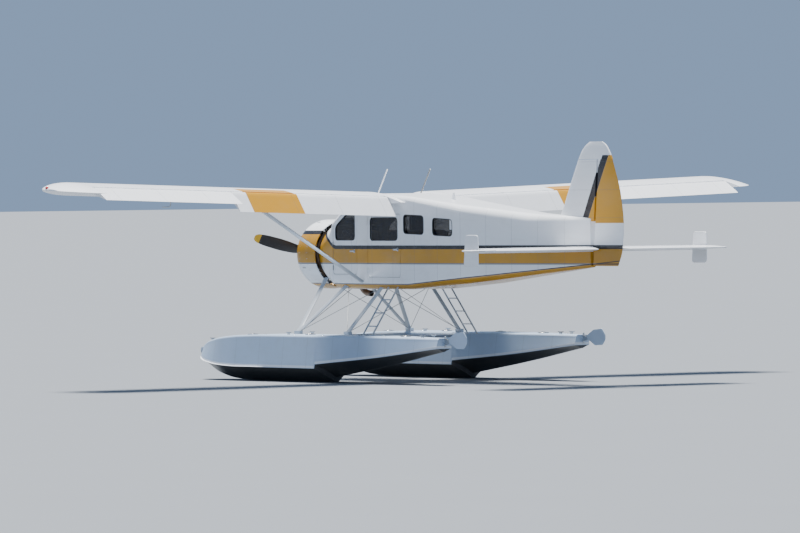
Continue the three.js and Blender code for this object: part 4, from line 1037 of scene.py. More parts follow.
def cowlFasteners():
    made = []
    for station, count in cowl["fasteners"]:
        for k in range(count):
            degrees = k * 360 / count + cowl["fastenerStart"]
            at = radial(station, float(cowlRadius(station)) - 1, degrees)
            made.append(post(at, outwards(degrees), *cowl["fastenerSize"], 0.3, 8))
    for k in range(cowl["latches"]):
        degrees = cowl["latchStart"] + k * 360 / cowl["latches"]
        start, end = (radial(s, float(cowlRadius(s)) + 1, degrees) for s in cowl["latchStations"])
        made.append(straightTube(start, end, *cowl["latchSize"], reference=outwards(degrees), rings=6))
    return made


cowlWall = np.vstack([smoothPath(cowl["outer"], 6), smoothPath(cowl["inner"], 4)]) / 1000
cowlSkin = turned(cowlWall, axisOrigin, aftward, cowl["sides"], wrap=True)
piece("cowl_skin", [cowlSkin], cowlPaint, replaces=("engine_cowl",), sharp=40)
piece("cowl_bands", [cowlBand(station) for station in cowl["seams"]], cowlPaint)
piece("cowl_fasteners", cowlFasteners(), steel, slot="bare_metal")
print("cowl made")

# Engine: finned cylinders in a star, with rocker boxes, pushrod tubes, intake pipes and a collector ring.
# Profiles are (along, radius). A finned stretch is its start, end, root radius, rim radius and pitch. A
# path's columns are station, radius and degrees past its cylinder; widths of tubes are in metres
engine = dict(
    station=700, cylinders=9, start=90.0, foot=[[200, 78], [232, 80]], barrel=(235, 398, 66, 80, 10.0),
    neck=[[399, 74]], head=(400, 560, 70, 96, 11.5), headNarrows=([480, 560], [0, 18]), headRim=80,
    top=[[566, 60], [578, 44], [582, 0]], flange=[[226, 100], [240, 100], [242, 92], [242, 0]],
    rockerAside=52, rockerRadius=548, rockerStations=(612, 640, 700, 742),
    rockerWidths=(0.024, 0.031, 0.031, 0.022), rockerBolt=(640, 566), rockerBoltSize=(0.016, 0.018),
    rodFoot=(536, 240), rodTop=(634, 536), rodFootAside=0.42, rodWidth=0.0095, tappet=(530, 232),
    tappetSize=(0.03, 0.016),
    intake=[[830, 235, 14], [850, 330, 12], [820, 450, 8], [768, 520, 5]], intakeWidth=0.024,
    lead=[[560, 292, 16], [590, 380, 10], [640, 500, 4]], leadWidth=0.005,
    harness=(556, 290), harnessWidth=0.013, collector=(905, 430), collectorWidth=0.042,
    stub=[[772, 505, -6], [850, 500, -8], [905, 445, -9]], stubWidth=0.027,
    crankcase=[[331, 0], [331, 78], [352, 86], [400, 110], [440, 150], [470, 190], [500, 226], [545, 252],
               [600, 258], [640, 266], [760, 266], [800, 258], [840, 252], [880, 190], [1058, 188],
               [1058, 0]],
    noseBolts=18, noseBoltRing=(470, 205), noseBoltSize=(0.014, 0.009),
    governor=[[0, 34], [40, 34], [46, 26], [46, 0]], governorRing=(452, 168), governors=(250, 290),
)


# Cooling fins: for each pitch the radius goes root, root, rim, rim
def finned(start, end, root, rim, pitch):
    count = int((end - start) / pitch)
    step = np.arange(count)[:, None] * pitch + start + np.array([0, 0.62, 0.62, 1.0]) * pitch
    return np.stack([step.ravel(), np.tile([root, root, rim, rim], count)], -1)


# A cylinder's whole profile; the head's fins draw in towards its top
def cylinderProfile():
    e = engine
    head = finned(*e["head"])
    head[:, 1] -= np.where(head[:, 1] > e["headRim"], np.interp(head[:, 0], *e["headNarrows"]), 0)
    return np.vstack([e["foot"], finned(*e["barrel"]), e["neck"], head, e["top"]]) / 1000


# One of a cylinder's two valves, at one side of it: rocker box with its bolt, pushrod tube and tappet housing
def valveGear(degrees, aside):
    e = engine
    out = outwards(degrees)
    box = [radial(station, e["rockerRadius"], degrees, aside) for station in e["rockerStations"]]
    footAside = aside * e["rodFootAside"]
    foot, top = radial(*e["rodFoot"], degrees, footAside), radial(*e["rodTop"], degrees, aside)
    cases = [tube(np.array(box), np.array(e["rockerWidths"]), sides=14, reference=out),
             post(radial(*e["rockerBolt"], degrees, aside), out, *e["rockerBoltSize"], 0.3, 10),
             post(radial(*e["tappet"], degrees, footAside), out, *e["tappetSize"], 0.3, 10)]
    return cases, straightTube(foot, top, e["rodWidth"], sides=10, reference=aftward, rings=8)


# A ring of tube round the engine, at a station and radius
def ringTube(where, width, sides):
    around = np.linspace(0, 360, 72, endpoint=False)
    return tube(radial(*where, around), width, sides=sides, reference=aftward, closed=True)


def buildEngine():
    e = engine
    cylinders, rods, cases, pipes, stubs = [], [], [], [], []
    profile, flange = cylinderProfile(), np.array(e["flange"]) / 1000
    for k in range(e["cylinders"]):
        degrees = e["start"] + k * 360 / e["cylinders"]
        out, base = outwards(degrees), radial(e["station"], 0, degrees)
        cylinders += [turned(profile, base, out, 30), turned(flange, base, out, 24)]
        for aside in (-e["rockerAside"], e["rockerAside"]):
            boxes, rod = valveGear(degrees, aside)
            cases += boxes
            rods.append(rod)
        intake, lead, stub = (smoothPath(radialPath(e[name], degrees), steps)
                              for name, steps in (("intake", 5), ("lead", 4), ("stub", 5)))
        pipes.append(tube(intake, e["intakeWidth"], sides=12, reference=aftward))
        rods.append(tube(lead, e["leadWidth"], sides=8, reference=aftward))
        stubs.append(tube(stub, e["stubWidth"], sides=12, reference=outwards(degrees + 90)))
    rods.append(ringTube(e["harness"], e["harnessWidth"], 10))
    collector = ringTube(e["collector"], e["collectorWidth"], 16)
    case = [turned(np.array(e["crankcase"]) / 1000, axisOrigin, aftward, 64)]
    for k in range(e["noseBolts"]):
        case.append(bolt(radial(*e["noseBoltRing"], k * 360 / e["noseBolts"]), forward, *e["noseBoltSize"]))
    for degrees in e["governors"]:
        case.append(turned(np.array(e["governor"]) / 1000, radial(*e["governorRing"], degrees), forward, 16))
    return cylinders, case + cases, rods + pipes, [collector, *stubs]


cylinders, crankcase, rods, collector = buildEngine()
piece("engine_cylinders", cylinders, castMetal, slot="engine_metal", replaces=("engine",), sharp=30)
piece("engine_crankcase", crankcase, engineGrey, slot="engine_metal", sharp=30)
piece("engine_rods", rods, blackPaint, slot="dark_metal")
piece("exhaust_collector", collector, burntSteel, slot="bare_metal")
print("engine made")

# Propeller: each blade is a row of thin sections, twisted by their pitch. Columns: radius, chord,
# thickness, pitch. tipFrom and the places of wear are in metres
propeller = dict(
    station=150, rest=14.0,
    blade=[[60, 84, 84, 52], [150, 96, 82, 48], [230, 120, 62, 44], [420, 190, 38, 36], [700, 215, 24, 28],
           [1000, 200, 16, 22], [1200, 160, 11, 19], [1270, 110, 8, 18.4], [1295, 60, 6, 18]],
    hub=[[0, 0], [2, 24], [8, 44], [30, 70], [66, 80], [80, 92], [84, 104], [216, 105], [224, 98], [236, 72],
         [330.7, 70], [330.7, 0]],
    clamp=[[60, 52], [108, 52], [112, 60], [140, 60], [144, 50], [150, 50], [150, 0]], clampRadius=108,
    clampBolts=(54, -54, 81, -81), clampBoltSize=(0.012, 0.009),
    hubBolts=8, hubBoltRing=(66, 60), hubBoltSize=(0.03, 0.007),
    tipFrom=1.17, wearFrom=0.5, wearTo=1.2, black=(0.03, 0.03, 0.033, 1), tip=(0.72, 0.42, 0.03, 1),
    bare=(0.4, 0.4, 0.41, 1),
)


# Section: across = chord / 2 cos, thick = thickness / 2 sin (1 + 0.3 cos), turned by the pitch, then round
# the axis by the rest angle
def bladeShell(turn):
    p = propeller
    root, end = p["blade"][0][0], p["blade"][-1][0]
    at = root + (end - root) * np.sin(np.linspace(0, np.pi / 2, 60)) ** 0.9
    radius = at[:, None]
    chord, thick, pitch = (c[:, None] for c in smoothTable(p["blade"], at).T)
    angle = np.linspace(0, 2 * np.pi, 28, endpoint=False)
    u, v = chord / 2 * np.cos(angle), thick / 2 * np.sin(angle) * (1 + 0.3 * np.cos(angle)) / 1.05
    a = np.radians(pitch)
    station, up = p["station"] + u * np.sin(a) + v * np.cos(a), u * np.cos(a) - v * np.sin(a)
    c, s = math.cos(math.radians(turn)), math.sin(math.radians(turn))
    return loft(place(station, radius * c - up * s, radius * s + up * c))


# Black with a yellow tip, chipped to bare metal towards the end
def bladeFinish():
    p = propeller
    made, tree, inputs = finish("propellerPaint")
    where, x, y, z = coordinates(tree)
    squares = [calc(tree, "POWER", value, 2.0) for value in (y, calc(tree, "SUBTRACT", z, thrustZ))]
    radius = calc(tree, "SQRT", calc(tree, "ADD", *squares))
    tipped = ramp(tree, radius, p["tipFrom"] - 0.002, p["tipFrom"] + 0.002)
    nicks = ramp(tree, noise(tree, where, 26.0, 5.0, 0.7), 0.62, 0.72)
    worn = calc(tree, "MULTIPLY", nicks, ramp(tree, radius, p["wearFrom"], p["wearTo"]))
    colour = mix(tree, tipped, p["black"], p["tip"])
    tree.links.new(mix(tree, calc(tree, "MULTIPLY", worn, 0.6), colour, p["bare"]), inputs["Base Color"])
    tree.links.new(ramp(tree, noise(tree, where, 12.0), 0.3, 0.7, (0.3, 0.48)), inputs["Roughness"])
    tree.links.new(calc(tree, "MULTIPLY", worn, 0.7), inputs["Metallic"])
    return made


# The hub with its dome, and a clamp with bolts round each blade's root
def hubShells(turns):
    p = propeller
    made = [turned(np.array(p["hub"]) / 1000, axisOrigin, aftward, 48)]
    for turn in turns:
        made.append(turned(np.array(p["clamp"]) / 1000, place(p["station"], 0, 0), outwards(turn), 28))
        for degrees in (turn + past for past in p["clampBolts"]):
            at = radial(p["station"], p["clampRadius"], degrees)
            made.append(bolt(at, outwards(degrees), *p["clampBoltSize"]))
    for k in range(p["hubBolts"]):
        made.append(bolt(radial(*p["hubBoltRing"], k * 360 / p["hubBolts"]), forward, *p["hubBoltSize"]))
    return made


turns = (propeller["rest"], propeller["rest"] + 180)
blades = [bladeShell(turn) for turn in turns]
piece("propeller_blades", blades, bladeFinish(), "propeller", "dark_metal", replaces=("propeller",))
piece("propeller_hub", hubShells(turns), steel, "propeller", "dark_metal")
print("propeller made")

exhaust = dict(path=((1230, -250, -430), (1240, -300, -600), (1330, -320, -680), (1480, -325, -700)),
               radius=0.055, wall=0.004)


# A pipe with a wall: rings out along the path and back inside it
def pipe(path, radius, wall, reference, sides=28):
    outer, inner = (tube(path, r, sides=sides, reference=reference)[0].reshape(len(path), sides, 3)
                    for r in (radius, radius - wall))
    return loft(np.concatenate([outer, inner[::-1]]), wrap=True)


exhaustPath = smoothPath([place(*point) for point in exhaust["path"]], 8)
exhaustStack = pipe(exhaustPath, exhaust["radius"], exhaust["wall"], (0, 1, 0.2))
piece("exhaust_stack", [exhaustStack], burntSteel, slot="bare_metal", replaces=("exhaust_pipe",))


# Floats. Columns: station, keel, chine, half beam at the chine, deck, half beam at the deck; heights from
# the keels. The step is a V: a bottom point's station moves aft by keelAft * (1 - its share of the beam)
# near it. A lug is its stations, its y and how far its middle and edges are from lugLevel
floats = dict(
    centre=1470, keelHalf=20, gunwale=45, chineUp=30, hollow=0.28,
    keelAft=([1150, 2850, 2856, 4500], [0, 100, 100, 0]),
    front=[[-1100, 425, 455, 45, 525, 32], [-1055, 348, 422, 128, 562, 90], [-900, 236, 368, 235, 618, 178],
           [-600, 118, 316, 334, 694, 268], [-100, 28, 268, 398, 764, 342], [500, 0, 250, 420, 802, 366],
           [1150, 0, 250, 422, 817, 368], [2850, 0, 250, 428, 820, 372]],
    rear=[[2856, 92, 322, 418, 820, 372], [4500, 310, 450, 335, 818, 290], [6100, 570, 625, 158, 800, 126]],
    bowRows=(-1100, -900, 16), frontRows=(-890, 2850, 84), rearRows=44,
    lugStations=(6128.7, 6085), lugY=(1440, 1500), lugLevel=740, lugSpread=42, lugHalf=14,
)


# A point on the port float: aside of its middle, at a height over the keels
def onFloat(station, aside, height):
    return place(station, floats["centre"] + aside, height + keelLevel)


# Half section: flat keel, a hollow bottom keel + rise (t + hollow t (1 - t)), a short upright chine, the
# side, a quarter-round gunwale, the deck
def floatRings(rows):
    f = floats
    station, keel, chine, beam, deck, top = (c[:, None] for c in np.asarray(rows, float).T)
    rise = np.minimum(f["gunwale"], (deck - chine) * 0.4)
    inwards = np.minimum(f["gunwale"], top * 0.5)
    edge = np.minimum(f["keelHalf"], beam * 0.3)
    bottomY = edge + (beam - edge) * np.linspace(0, 1, 13)
    share = (bottomY - edge) / (beam - edge)
    bottomZ = keel + (chine - keel) * (share + f["hollow"] * share * (1 - share))
    t = np.linspace(0, 1, 8)
    sideFoot = chine + f["chineUp"]
    sideY, sideZ = beam + (top - beam) * t, sideFoot + (deck - rise - chine - f["chineUp"]) * t
    a = np.linspace(0, np.pi / 2, 9)[1:]
    roundY, roundZ = top - inwards * (1 - np.cos(a)), deck - rise * (1 - np.sin(a))
    half = np.stack([np.hstack([bottomY, sideY, roundY]), np.hstack([bottomZ, sideZ, roundZ])], -1)
    ring = np.concatenate([half, half[:, ::-1] * [-1, 1]], 1)
    y, height = ring[..., 0], ring[..., 1]
    shift = np.interp(station, *f["keelAft"]) * np.where(height < chine, 1 - np.abs(y) / beam, 0)
    return onFloat(station + shift, y, height)


# The float's measures at a station; its deck's height and the deck's normal, by its slope over 80 mm
def rowAt(station):
    return smoothTable(floats["front"] if station < floats["front"][-1][0] else floats["rear"], [station])[0]


def deckAt(station):
    return float(rowAt(station)[3])


def deckNormal(station):
    return np.array([(deckAt(station + 40) - deckAt(station - 40)) / 80, 0, 1.0])


# Two lugs at the stern that hold the water rudder's post
def sternLugs():
    f = floats
    (aft, fore), (inner, outer) = f["lugStations"], f["lugY"]
    middles = (f["lugLevel"] + side * f["lugSpread"] + keelLevel for side in (-1, 1))
    return [block(place(aft, inner, middle - f["lugHalf"]), place(fore, outer, middle + f["lugHalf"]))
            for middle in middles]


# The bow's rows stand closer together
frontAt = np.concatenate([np.linspace(*floats["bowRows"]), np.linspace(*floats["frontRows"])])
frontRows = np.column_stack([frontAt, smoothTable(floats["front"], frontAt)])
hullRows = np.vstack([frontRows, resample(floats["rear"], floats["rearRows"])])
hullRings = floatRings(hullRows)
aboveChine = (hullRings[..., 2] - hullRows[:, 2:3] / 1000).ravel()
hullShells = [loft(hullRings), *sternLugs()]
for made in pair("float_hull", hullShells, floatSkin, slot="float_paint", replaces="float", sharp=28):
    levels = np.zeros(len(made.data.vertices))
    levels[: len(aboveChine)] = aboveChine
    made.data.attributes.new("aboveChine", "FLOAT", "POINT").data.foreach_set("value", levels)

# Fittings: places are stations, and asides are shares of the deck's half beam. Ups are heights over the deck
# or the chine; sizes are (length, radius) or (width, depth), in metres
fittings = dict(
    rail=(-1000, 1300), railOut=8, railUp=6, railSize=(0.017, 0.008),
    railEnds=([-1000, -850, 1100, 1300], [0.2, 1, 1, 0.2]),
    bumper=(-1096, -1078), bumperReach=34, bumperHalf=92, bumperUp=20, bumperSize=(0.03, 0.062),
    hatches=(-420, 380, 2150, 3750, 5000), hatchUp=-4, hatchSize=(0.018, 0.092),
    gripHalf=55, gripUp=19, gripSize=(0.009, 0.006), knobUp=12, knobSize=(0.012, 0.014),
    plugs=(-650, 5500, 8), plugAside=0.62, plugUp=-4, plugSize=(0.010, 0.022),
    cleats=(-620, 1850, 5650), cleatAside=0.68, cleatFeet=22, footUp=-6, footSize=(0.040, 0.009),
    hornHalf=82, hornUp=36, hornRise=8, hornWidth=([-1, -0.6, 0.6, 1], [0.005, 0.011, 0.011, 0.005]),
    strutBolts=(1400, 2900), strutBoltY=-270, boltAlong=66, boltAcross=34, boltUp=1, boltSize=(0.012, 0.009),
)
upward = np.array([0, 0, 1.0])


# Along both chines at the bow, thinner at their ends
def sprayRails():
    f = fittings
    station = np.linspace(*f["rail"], 40)
    row = smoothTable(floats["front"], station)
    width, depth = (size * np.interp(station, *f["railEnds"]) for size in f["railSize"])
    paths = (onFloat(station, side * (row[:, 2] + f["railOut"]), row[:, 1] + f["railUp"]) for side in (-1, 1))
    return [tube(path, width, depth, 10) for path in paths]


# A half ellipse round the bow, at the middle of its height
def bowBumper():
    f = fittings
    bow = smoothTable(floats["front"], [f["bumper"][0]])[0]
    around = np.radians(np.linspace(-90, 90, 19))
    station = f["bumper"][1] - f["bumperReach"] * np.cos(around)
    path = onFloat(station, f["bumperHalf"] * np.sin(around), 0.5 * (bow[1] + bow[3]) + f["bumperUp"])
    return tube(path, *f["bumperSize"], 16)


# A hatch cover with its grip and knob
def hatchCover(station):
    f = fittings
    lean, deck = deckNormal(station), deckAt(station)
    grip = (onFloat(station + s, 0, deck + f["gripUp"] + lean[0] * s)
            for s in (-f["gripHalf"], f["gripHalf"]))
    return [post(onFloat(station, 0, deck + f["hatchUp"]), lean, *f["hatchSize"], 0.3, 32),
            straightTube(*grip, *f["gripSize"], 10, rings=6),
            post(onFloat(station, 0, deck + f["knobUp"]), lean, *f["knobSize"], 0.3, 14)]


def pumpPlug(station):
    f = fittings
    at = onFloat(station, f["plugAside"] * rowAt(station)[4], deckAt(station) + f["plugUp"])
    return post(at, deckNormal(station), *f["plugSize"], 0.3, 16)


# Two feet and a horn whose ends rise by the square of the way out
def cleat(station, side):
    f = fittings
    y, deck = side * f["cleatAside"] * float(rowAt(station)[4]), deckAt(station)
    feet = [post(onFloat(station + s, y, deck + f["footUp"]), upward, *f["footSize"], 0.1, 12)
            for s in (-f["cleatFeet"], f["cleatFeet"])]
    t = np.linspace(-1, 1, 11)
    along = np.linspace(-f["hornHalf"], f["hornHalf"], 11)
    horn = onFloat(station + along, y, deck + f["hornUp"] + f["hornRise"] * t**2)
    return [*feet, tube(horn, np.interp(t, *f["hornWidth"]), sides=10)]


def strutBolts(station):
    f, up = fittings, deckAt(station) + fittings["boltUp"]
    return [bolt(onFloat(station + x, f["strutBoltY"] + y, up), upward, *f["boltSize"])
            for x in (-f["boltAlong"], f["boltAlong"]) for y in (-f["boltAcross"], f["boltAcross"])]


deckFittings = [part for station in fittings["hatches"] for part in hatchCover(station)]
deckFittings += [pumpPlug(station) for station in np.linspace(*fittings["plugs"])]
deckFittings += [part for station in fittings["cleats"] for side in (-1, 1) for part in cleat(station, side)]
deckFittings += [part for station in fittings["strutBolts"] for part in strutBolts(station)]
pair("spray_rails", sprayRails(), whitePaint)
pair("float_fittings", deckFittings, steel, slot="bare_metal")
pair("bow_bumper", [bowBumper()], strutPaint, slot="float_paint")
for side in ("left", "right"):
    smoothCopy(f"water_rudder_post_{side}", steel, bevel=0.001)
    smoothCopy(f"water_rudder_blade_{side}", floatSkin, bevel=0.002)
    smoothCopy(f"boarding_ladder_{side}", steel, sharp=40)
for node in ("spreader_bar_front", "spreader_bar_rear"):
    smoothCopy(node, strutPaint, sharp=40)
print("floats made")

# Struts: teardrop bars with cuffs at both ends, from feet on the decks' pedestals. Ends are station, y and
# height
struts = dict(
    chord=0.105, thickness=0.042,
    cuff=((0, 1.18), (0.05, 1.16), (0.075, 1.0), (0.93, 1.0), (0.955, 1.16), (1, 1.22)),
    feet=(1400, 2900), footY=1200, footUp=30, deck=-1380, frontTops=((1130, 398, -418), (1940, 498, -520)),
    rearTop=(3020, 496, -520), pedestal=(75, 40), pedestalHeights=(-2, 55),
    wing=((2505, 596, -470), (2757, 3120, 938)), wingChord=0.135, wingThickness=0.048,
    wingCuff=((0, 1.0), (0.02, 1.0), (0.9, 1.0), (0.95, 1.12), (1, 1.25)),
)


def floatStrut(foot, top):
    s = struts
    start = place(foot, s["footY"], s["deck"] + s["footUp"])
    return bar(start, place(*top), s["chord"], s["thickness"], stretch=s["cuff"])


def pedestal(station):
    s = struts
    (along, across), (low, high) = s["pedestal"], s["pedestalHeights"]
    return block(place(station + along, s["footY"] - across, s["deck"] + low),
                 place(station - along, s["footY"] + across, s["deck"] + high))


def strutPair(name, shells, node, bevel=0.003):
    pair(name, shells, strutPaint, slot="float_paint", replaces=node, bevel=bevel)


frontFoot, rearFoot = struts["feet"]
frontStruts = [floatStrut(frontFoot, top) for top in struts["frontTops"]]
wingStart, wingEnd = (place(*end) for end in struts["wing"])
wingStrut = bar(wingStart, wingEnd, struts["wingChord"], struts["wingThickness"], 32, struts["wingCuff"])
rearStrut = floatStrut(rearFoot, struts["rearTop"])
strutPair("front_struts_skin", [*frontStruts, pedestal(frontFoot)], "float_front_struts")
strutPair("rear_strut_skin", [rearStrut, pedestal(rearFoot)], "float_rear_strut")
strutPair("wing_strut_skin", [wingStrut], "wing_strut", bevel=0.0)

# Crossed bracing wires: straight between two ends, thick at the forks that hold them. A y under 0 is on the
# far side
wires = dict(
    radius=0.005, fork=0.011, reach=[0, 0.02, 0.03, 0.97, 0.98, 1],
    ends=(((1440, 1190, -1330), (2990, 500, -560)), ((2860, 1190, -1330), (1960, 500, -560)),
          ((1420, 1180, -1335), (1150, -380, -455)), ((2900, 1180, -1335), (3020, -470, -575))),
)


def wire(start, end):
    t = np.array(wires["reach"])[:, None]
    fork, radius = wires["fork"], wires["radius"]
    widths = np.array([fork, fork, radius, radius, fork, fork])
    return tube(start + (end - start) * t, widths, sides=8, reference=(1, 0.1, 0))


crossWires = [wire(*(place(*end) * [1, sign, 1] for end in ends))
              for sign in (1, -1) for ends in wires["ends"]]
piece("bracing_wires", crossWires, wireSteel, slot="bare_metal")
print("struts made")


# Cabin: seats on tube frames with padded cushions, gauges in the panel, a wheel on its column. A seat is
# its node's station, y, width and how many places it has, each with pads as wide as padWidth; gauges are y,
# height and radius
cabin = dict(
    floorTop=-402, seats=dict(front_seat_left=(1860, 290, 440, 1), front_seat_right=(1860, -290, 440, 1),
                              rear_bench=(3080, 0, 1040, 2)),
    padWidth={1: 0.405, 2: 0.485}, cushion=(0.425, 0.070), back=(0.475, 0.056), fill=0.7,
    cushionAt=(232, 312, 0.0), backAt=(474, 600, 97.5),
    frameIn=50, frame=[[60, 8], [60, 250], [430, 262], [500, 800]], frameWidth=0.014,
    leg=[[400, 8], [400, 258]], runner=[[20, 9], [450, 9]], runnerWidth=0.012, runnerDepth=0.008,
    crossBars=((60, 250), (400, 255)), barWidth=0.013, panelStation=1599,
    gauges=((-300, 400, 46), (-300, 270, 46), (-190, 400, 46), (-190, 270, 46), (-80, 400, 46),
            (-80, 270, 46), (60, 400, 34), (60, 310, 34), (150, 400, 34), (150, 310, 34), (240, 400, 34),
            (240, 310, 34), (330, 380, 40)),
)

# Pads: sizes are depth, width and thickness, in metres, as the rest. rounding gives the powers that square
# the outline, the ends and the height
pads = dict(crown=0.30, rounding=(0.32, 0.28, 0.55), voxel=0.011, pressure=4.0, frames=20, cap=0.014,
            piping=0.0045, pipingBand=0.012, pipingSector=0.07, pipingSteps=96)


# A cushion's form before it is filled: a box of rounded sides, x = |cos|^0.32 and so on, whose faces swell by
# crown * (1 - x^2)(1 - y^2)
def cushionShell(size, steps=40):
    outline, ends, rise = pads["rounding"]
    angle = np.linspace(0, 2 * np.pi, steps * 2, endpoint=False)
    tilt = np.linspace(-np.pi / 2, np.pi / 2, steps + 2)[1:-1, None]
    ring = signedPower(np.cos(tilt), ends)
    x, y = (ring * signedPower(wave, outline) for wave in (np.cos(angle), np.sin(angle)))
    z = signedPower(np.sin(tilt), rise) * (1 + pads["crown"] * (1 - x * x) * (1 - y * y))
    return loft(np.stack([x * size[0], y * size[1], z * size[2]], -1) / 2)


# The value's size to a power, with its sign
def signedPower(value, power):
    return np.sign(value) * np.abs(value) ** power


def meshArrays(mesh):
    points, corners = np.empty(len(mesh.vertices) * 3), np.empty(len(mesh.loops), np.int32)
    mesh.vertices.foreach_get("co", points)
    mesh.loops.foreach_get("vertex_index", corners)
    return points.reshape(-1, 3), corners.reshape(-1, 4)


def evaluatedMesh(made):
    return bpy.data.meshes.new_from_object(made.evaluated_get(bpy.context.evaluated_depsgraph_get()))


# Fills a cushion: even quads by a voxel remesh, then Cloth's pressure with no gravity, each point's move
# capped
def filled(made):
    mesh = bpy.data.meshes.new("padding")
    mesh.from_pydata(made[0].tolist(), [], [face for faces in made[1] for face in faces.tolist()])
    pad = bpy.data.objects.new("padding", mesh)
    bpy.context.collection.objects.link(pad)
    even = pad.modifiers.new("even", "REMESH")
    even.mode, even.voxel_size = "VOXEL", pads["voxel"]
    pad.data = evaluatedMesh(pad)
    pad.modifiers.clear()
    points, faces = meshArrays(pad.data)
    cloth = pad.modifiers.new("fill", "CLOTH")
    cloth.settings.use_pressure, cloth.settings.uniform_pressure_force = True, pads["pressure"]
    cloth.settings.effector_weights.gravity = 0.0
    for step in range(1, pads["frames"] + 1):
        bpy.context.scene.frame_set(step)
    move = meshArrays(evaluatedMesh(pad))[0] - points
    far = np.linalg.norm(move, axis=1, keepdims=True)
    points = points + move * np.minimum(1, pads["cap"] / np.maximum(far, 1e-9))
    bpy.context.scene.frame_set(1)
    bpy.data.objects.remove(pad)
    return points, [faces]


# Piping round the pad's edge: the outermost of the points near its middle height, in even directions
def piping(points):
    near = points[np.abs(points[:, 2]) < pads["pipingBand"]]
    ring = np.linspace(0, 2 * np.pi, pads["pipingSteps"], endpoint=False)
    scaled = near[:, :2] / np.ptp(near[:, :2], axis=0)
    angle = np.arctan2(scaled[:, 1], scaled[:, 0]) % (2 * np.pi)
    reach = np.hypot(near[:, 0], near[:, 1])
    sector = np.abs((angle[None] - ring[:, None] + np.pi) % (2 * np.pi) - np.pi) < pads["pipingSector"]
    path = near[np.argmax(np.where(sector, reach, -1), axis=1)] * [1, 1, 0]
    for _ in range(2):
        path = (np.roll(path, 1, 0) + 2 * path + np.roll(path, -1, 0)) / 4
    return tube(path, pads["piping"], sides=8, closed=True)


# Turned about y by the lean and moved to its place
def seated(made, middle, lean):
    c, s = math.cos(lean), math.sin(lean)
    return made[0] @ np.array([[c, 0, -s], [0, 1, 0], [s, 0, c]]) + middle, made[1]


def padding(width, depth, thickness):
    body = filled(cushionShell((depth, width, thickness)))
    return body, piping(body[0])


# A line of points in a seat's side: how far aft of its station and over the floor they are
def seatLine(points, station, y):
    return [place(station + along, y, cabin["floorTop"] + up) for along, up in points]


# Two bent tubes with a leg and a floor runner each, joined by cross bars
def seatFrame(station, y, width):
    c, made = cabin, []
    edges = (y - width / 2 + c["frameIn"], y + width / 2 - c["frameIn"])
    for edge in edges:
        path, leg, runner = (seatLine(c[name], station, edge) for name in ("frame", "leg", "runner"))
        made += [tube(smoothPath(path, 6), c["frameWidth"], reference=(0, 1, 0)),
                 straightTube(*leg, c["frameWidth"], reference=(0, 1, 0)),
                 straightTube(*runner, c["runnerWidth"], c["runnerDepth"])]
    for starts in zip(*(seatLine(c["crossBars"], station, edge) for edge in edges)):
        made.append(straightTube(*starts, c["barWidth"]))
    return made


def padPiece(name, shape):
    return piece(name, [shape], leather, slot="seat_leather", sharp=180)


def buildSeat(node, station, y, width, places, padShapes):
    piece(f"{node}_frame", seatFrame(station, y, width), blackPaint, slot="dark_metal", replaces=(node,))
    for k in range(places):
        middle = y - width / 2 + width / places * (k + 0.5)
        for part in ("cushion", "back"):
            along, up, lean = cabin[f"{part}At"]
            body, cord = padShapes[part]
            where = place(station + along, middle, cabin["floorTop"] + up)
            made = padPiece(f"{node}_{part}_{k}", seated(body, where, math.radians(lean)))
            smooth = made.modifiers.new("smooth", "SUBSURF")
            smooth.levels = smooth.render_levels = 1
            padPiece(f"{node}_{part}_piping_{k}", seated(cord, where, math.radians(lean)))


padShapes = {places: {part: padding(width, *cabin[part]) for part in ("cushion", "back")}
             for places, width in cabin["padWidth"].items()}
for node, (station, y, width, places) in cabin["seats"].items():
    buildSeat(node, station, y, width, places, padShapes[places])
smoothCopy("instrument_panel", blackPaint, bevel=0.002)
smoothCopy("control_column", blackPaint, sharp=45)


# A gauge's ring or face: its profile turned about the panel's normal
def gaugePart(profile, y, height):
    return turned(np.array(profile) / 1000, place(cabin["panelStation"], y, height), aftward, 28)


rings = [gaugePart([[0, r + 6], [5, r + 6], [7, r + 2], [4, r], [3, 0]], y, height)
         for y, height, r in cabin["gauges"]]
faces = [gaugePart([[4.2, r], [4.6, 0]], y, height) for y, height, r in cabin["gauges"]]
piece("panel_gauges", rings, steel, slot="dark_metal")
piece("gauge_faces", faces, blackPaint, slot="dark_metal")
print("cabin made")

# Lamps at the wing tips, a landing lamp in the leading edge and a pitot tube under it. Places on the wing
# are along and up from the chord's front end, then y; the pitot's path is in metres from its place
lights = dict(
    tipAt=(476.4, 36, 7290), tipShift=60,
    tipBulb=[[-45, 4], [-38, 14], [-20, 22], [0, 25], [22, 22], [40, 13], [48, 3]],
    landingAt=(14, 6, 5150), landingGlass=[[0, 62], [6, 60], [16, 44], [22, 22], [24, 0]],
    pitotAt=(260, -88, 4600), pitotPath=((0, 0, 0), (0.01, 0, -0.10), (0.05, 0, -0.135), (0.26, 0, -0.14)),
    pitotWidth=0.009,
)


def onWing(spot, shift=0.0):
    return wingPlace(np.array(spot[:2], float), spot[2], shift)


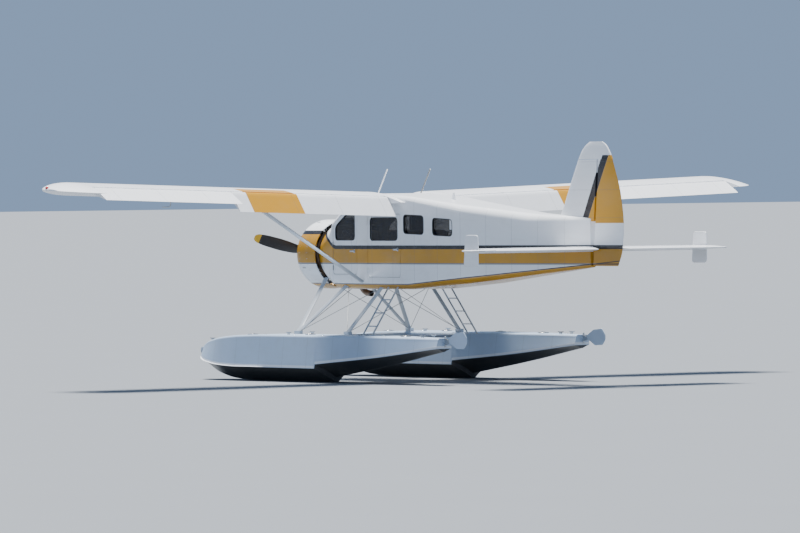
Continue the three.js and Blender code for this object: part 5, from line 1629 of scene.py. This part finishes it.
for (side, sign), lampGlass in zip(sides, (redLens, greenLens)):
    at = onWing(lights["tipAt"], lights["tipShift"]) * [1, sign, 1]
    bulb = turned(np.array(lights["tipBulb"]) / 1000, at, forward, 20)
    piece(f"wing_tip_lamp_{side}", [bulb], lampGlass, slot="window_glass")
landingLamp = turned(np.array(lights["landingGlass"]) / 1000, onWing(lights["landingAt"]), (1, 0, -0.1), 28)
pair("landing_lamp", [landingLamp], clearLens, slot="window_glass")
pitotPath = smoothPath([onWing(lights["pitotAt"]) + step for step in np.array(lights["pitotPath"])], 6)
pitot = tube(pitotPath, lights["pitotWidth"], sides=10, reference=(0, 1, 0))
piece("pitot_tube", [pitot], steel, slot="bare_metal")
print("fittings made")

# Stage: a plain pale floor, a pale world, and two soft suns. A sun is its direction, strength, angle and
# colour
stage = dict(
    floor=(0.165, 0.182, 0.205, 1), floorHalf=900, floorLevel=-0.002, floorShade=0.96,
    world=(0.45, 0.65, 1.0, 1), worldStrength=0.56,
    suns=dict(key=((-0.30, 0.07, -0.95), 12.6, 14, (1.0, 0.97, 0.92)),
              fill=((0.75, -0.6, -0.28), 0.3, 60, (0.85, 0.92, 1.0))),
)


def floorFinish():
    made, tree, inputs = finish("floorPaint", Roughness=0.85)
    cloud = noise(tree, coordinates(tree)[0], 0.4, 3.0)
    colour = mix(tree, cloud, stage["floor"], shaded(stage["floor"], stage["floorShade"]))
    tree.links.new(colour, inputs["Base Color"])
    return made


def addFloor():
    far, z = stage["floorHalf"], stage["floorLevel"]
    corners = [(-far, -far, z), (far, -far, z), (far, far, z), (-far, far, z)]
    mesh = bpy.data.meshes.new("floor")
    mesh.from_pydata(corners, [], [(0, 1, 2, 3)])
    mesh.materials.append(floorFinish())
    made = bpy.data.objects.new("floor", mesh)
    bpy.context.collection.objects.link(made)


def addWorld():
    world = bpy.data.worlds.new("studio")
    bpy.context.scene.world = world
    world.use_nodes = True
    inputs = world.node_tree.nodes["Background"].inputs
    inputs["Color"].default_value, inputs["Strength"].default_value = stage["world"], stage["worldStrength"]


def addSun(name, direction, strength, angle, colour):
    lamp = bpy.data.lights.new(name, "SUN")
    lamp.energy, lamp.angle, lamp.color = strength, math.radians(angle), colour
    made = bpy.data.objects.new(name, lamp)
    made.rotation_mode = "QUATERNION"
    made.rotation_quaternion = Vector(direction).to_track_quat("-Z", "Y")
    bpy.context.collection.objects.link(made)


addFloor()
addWorld()
for name, sun in stage["suns"].items():
    addSun(name, *sun)

# Camera: behind the port side, level with the wing, from far away
view = dict(place=(-95.23, 69.24, 3.351), target=(0.144, 0.80, 2.0), lens=306.0, sensor=36.0, roll=-0.62,
            far=2000.0)
cameraData = bpy.data.cameras.new("camera")
cameraData.lens, cameraData.sensor_width, cameraData.clip_end = view["lens"], view["sensor"], view["far"]
camera = bpy.data.objects.new("camera", cameraData)
bpy.context.collection.objects.link(camera)
camera.location = view["place"]
camera.rotation_mode = "QUATERNION"
aim = (Vector(view["target"]) - Vector(view["place"])).to_track_quat("-Z", "Y")
camera.rotation_quaternion = aim @ Quaternion((0, 0, 1), math.radians(view["roll"]))
bpy.context.scene.camera = camera
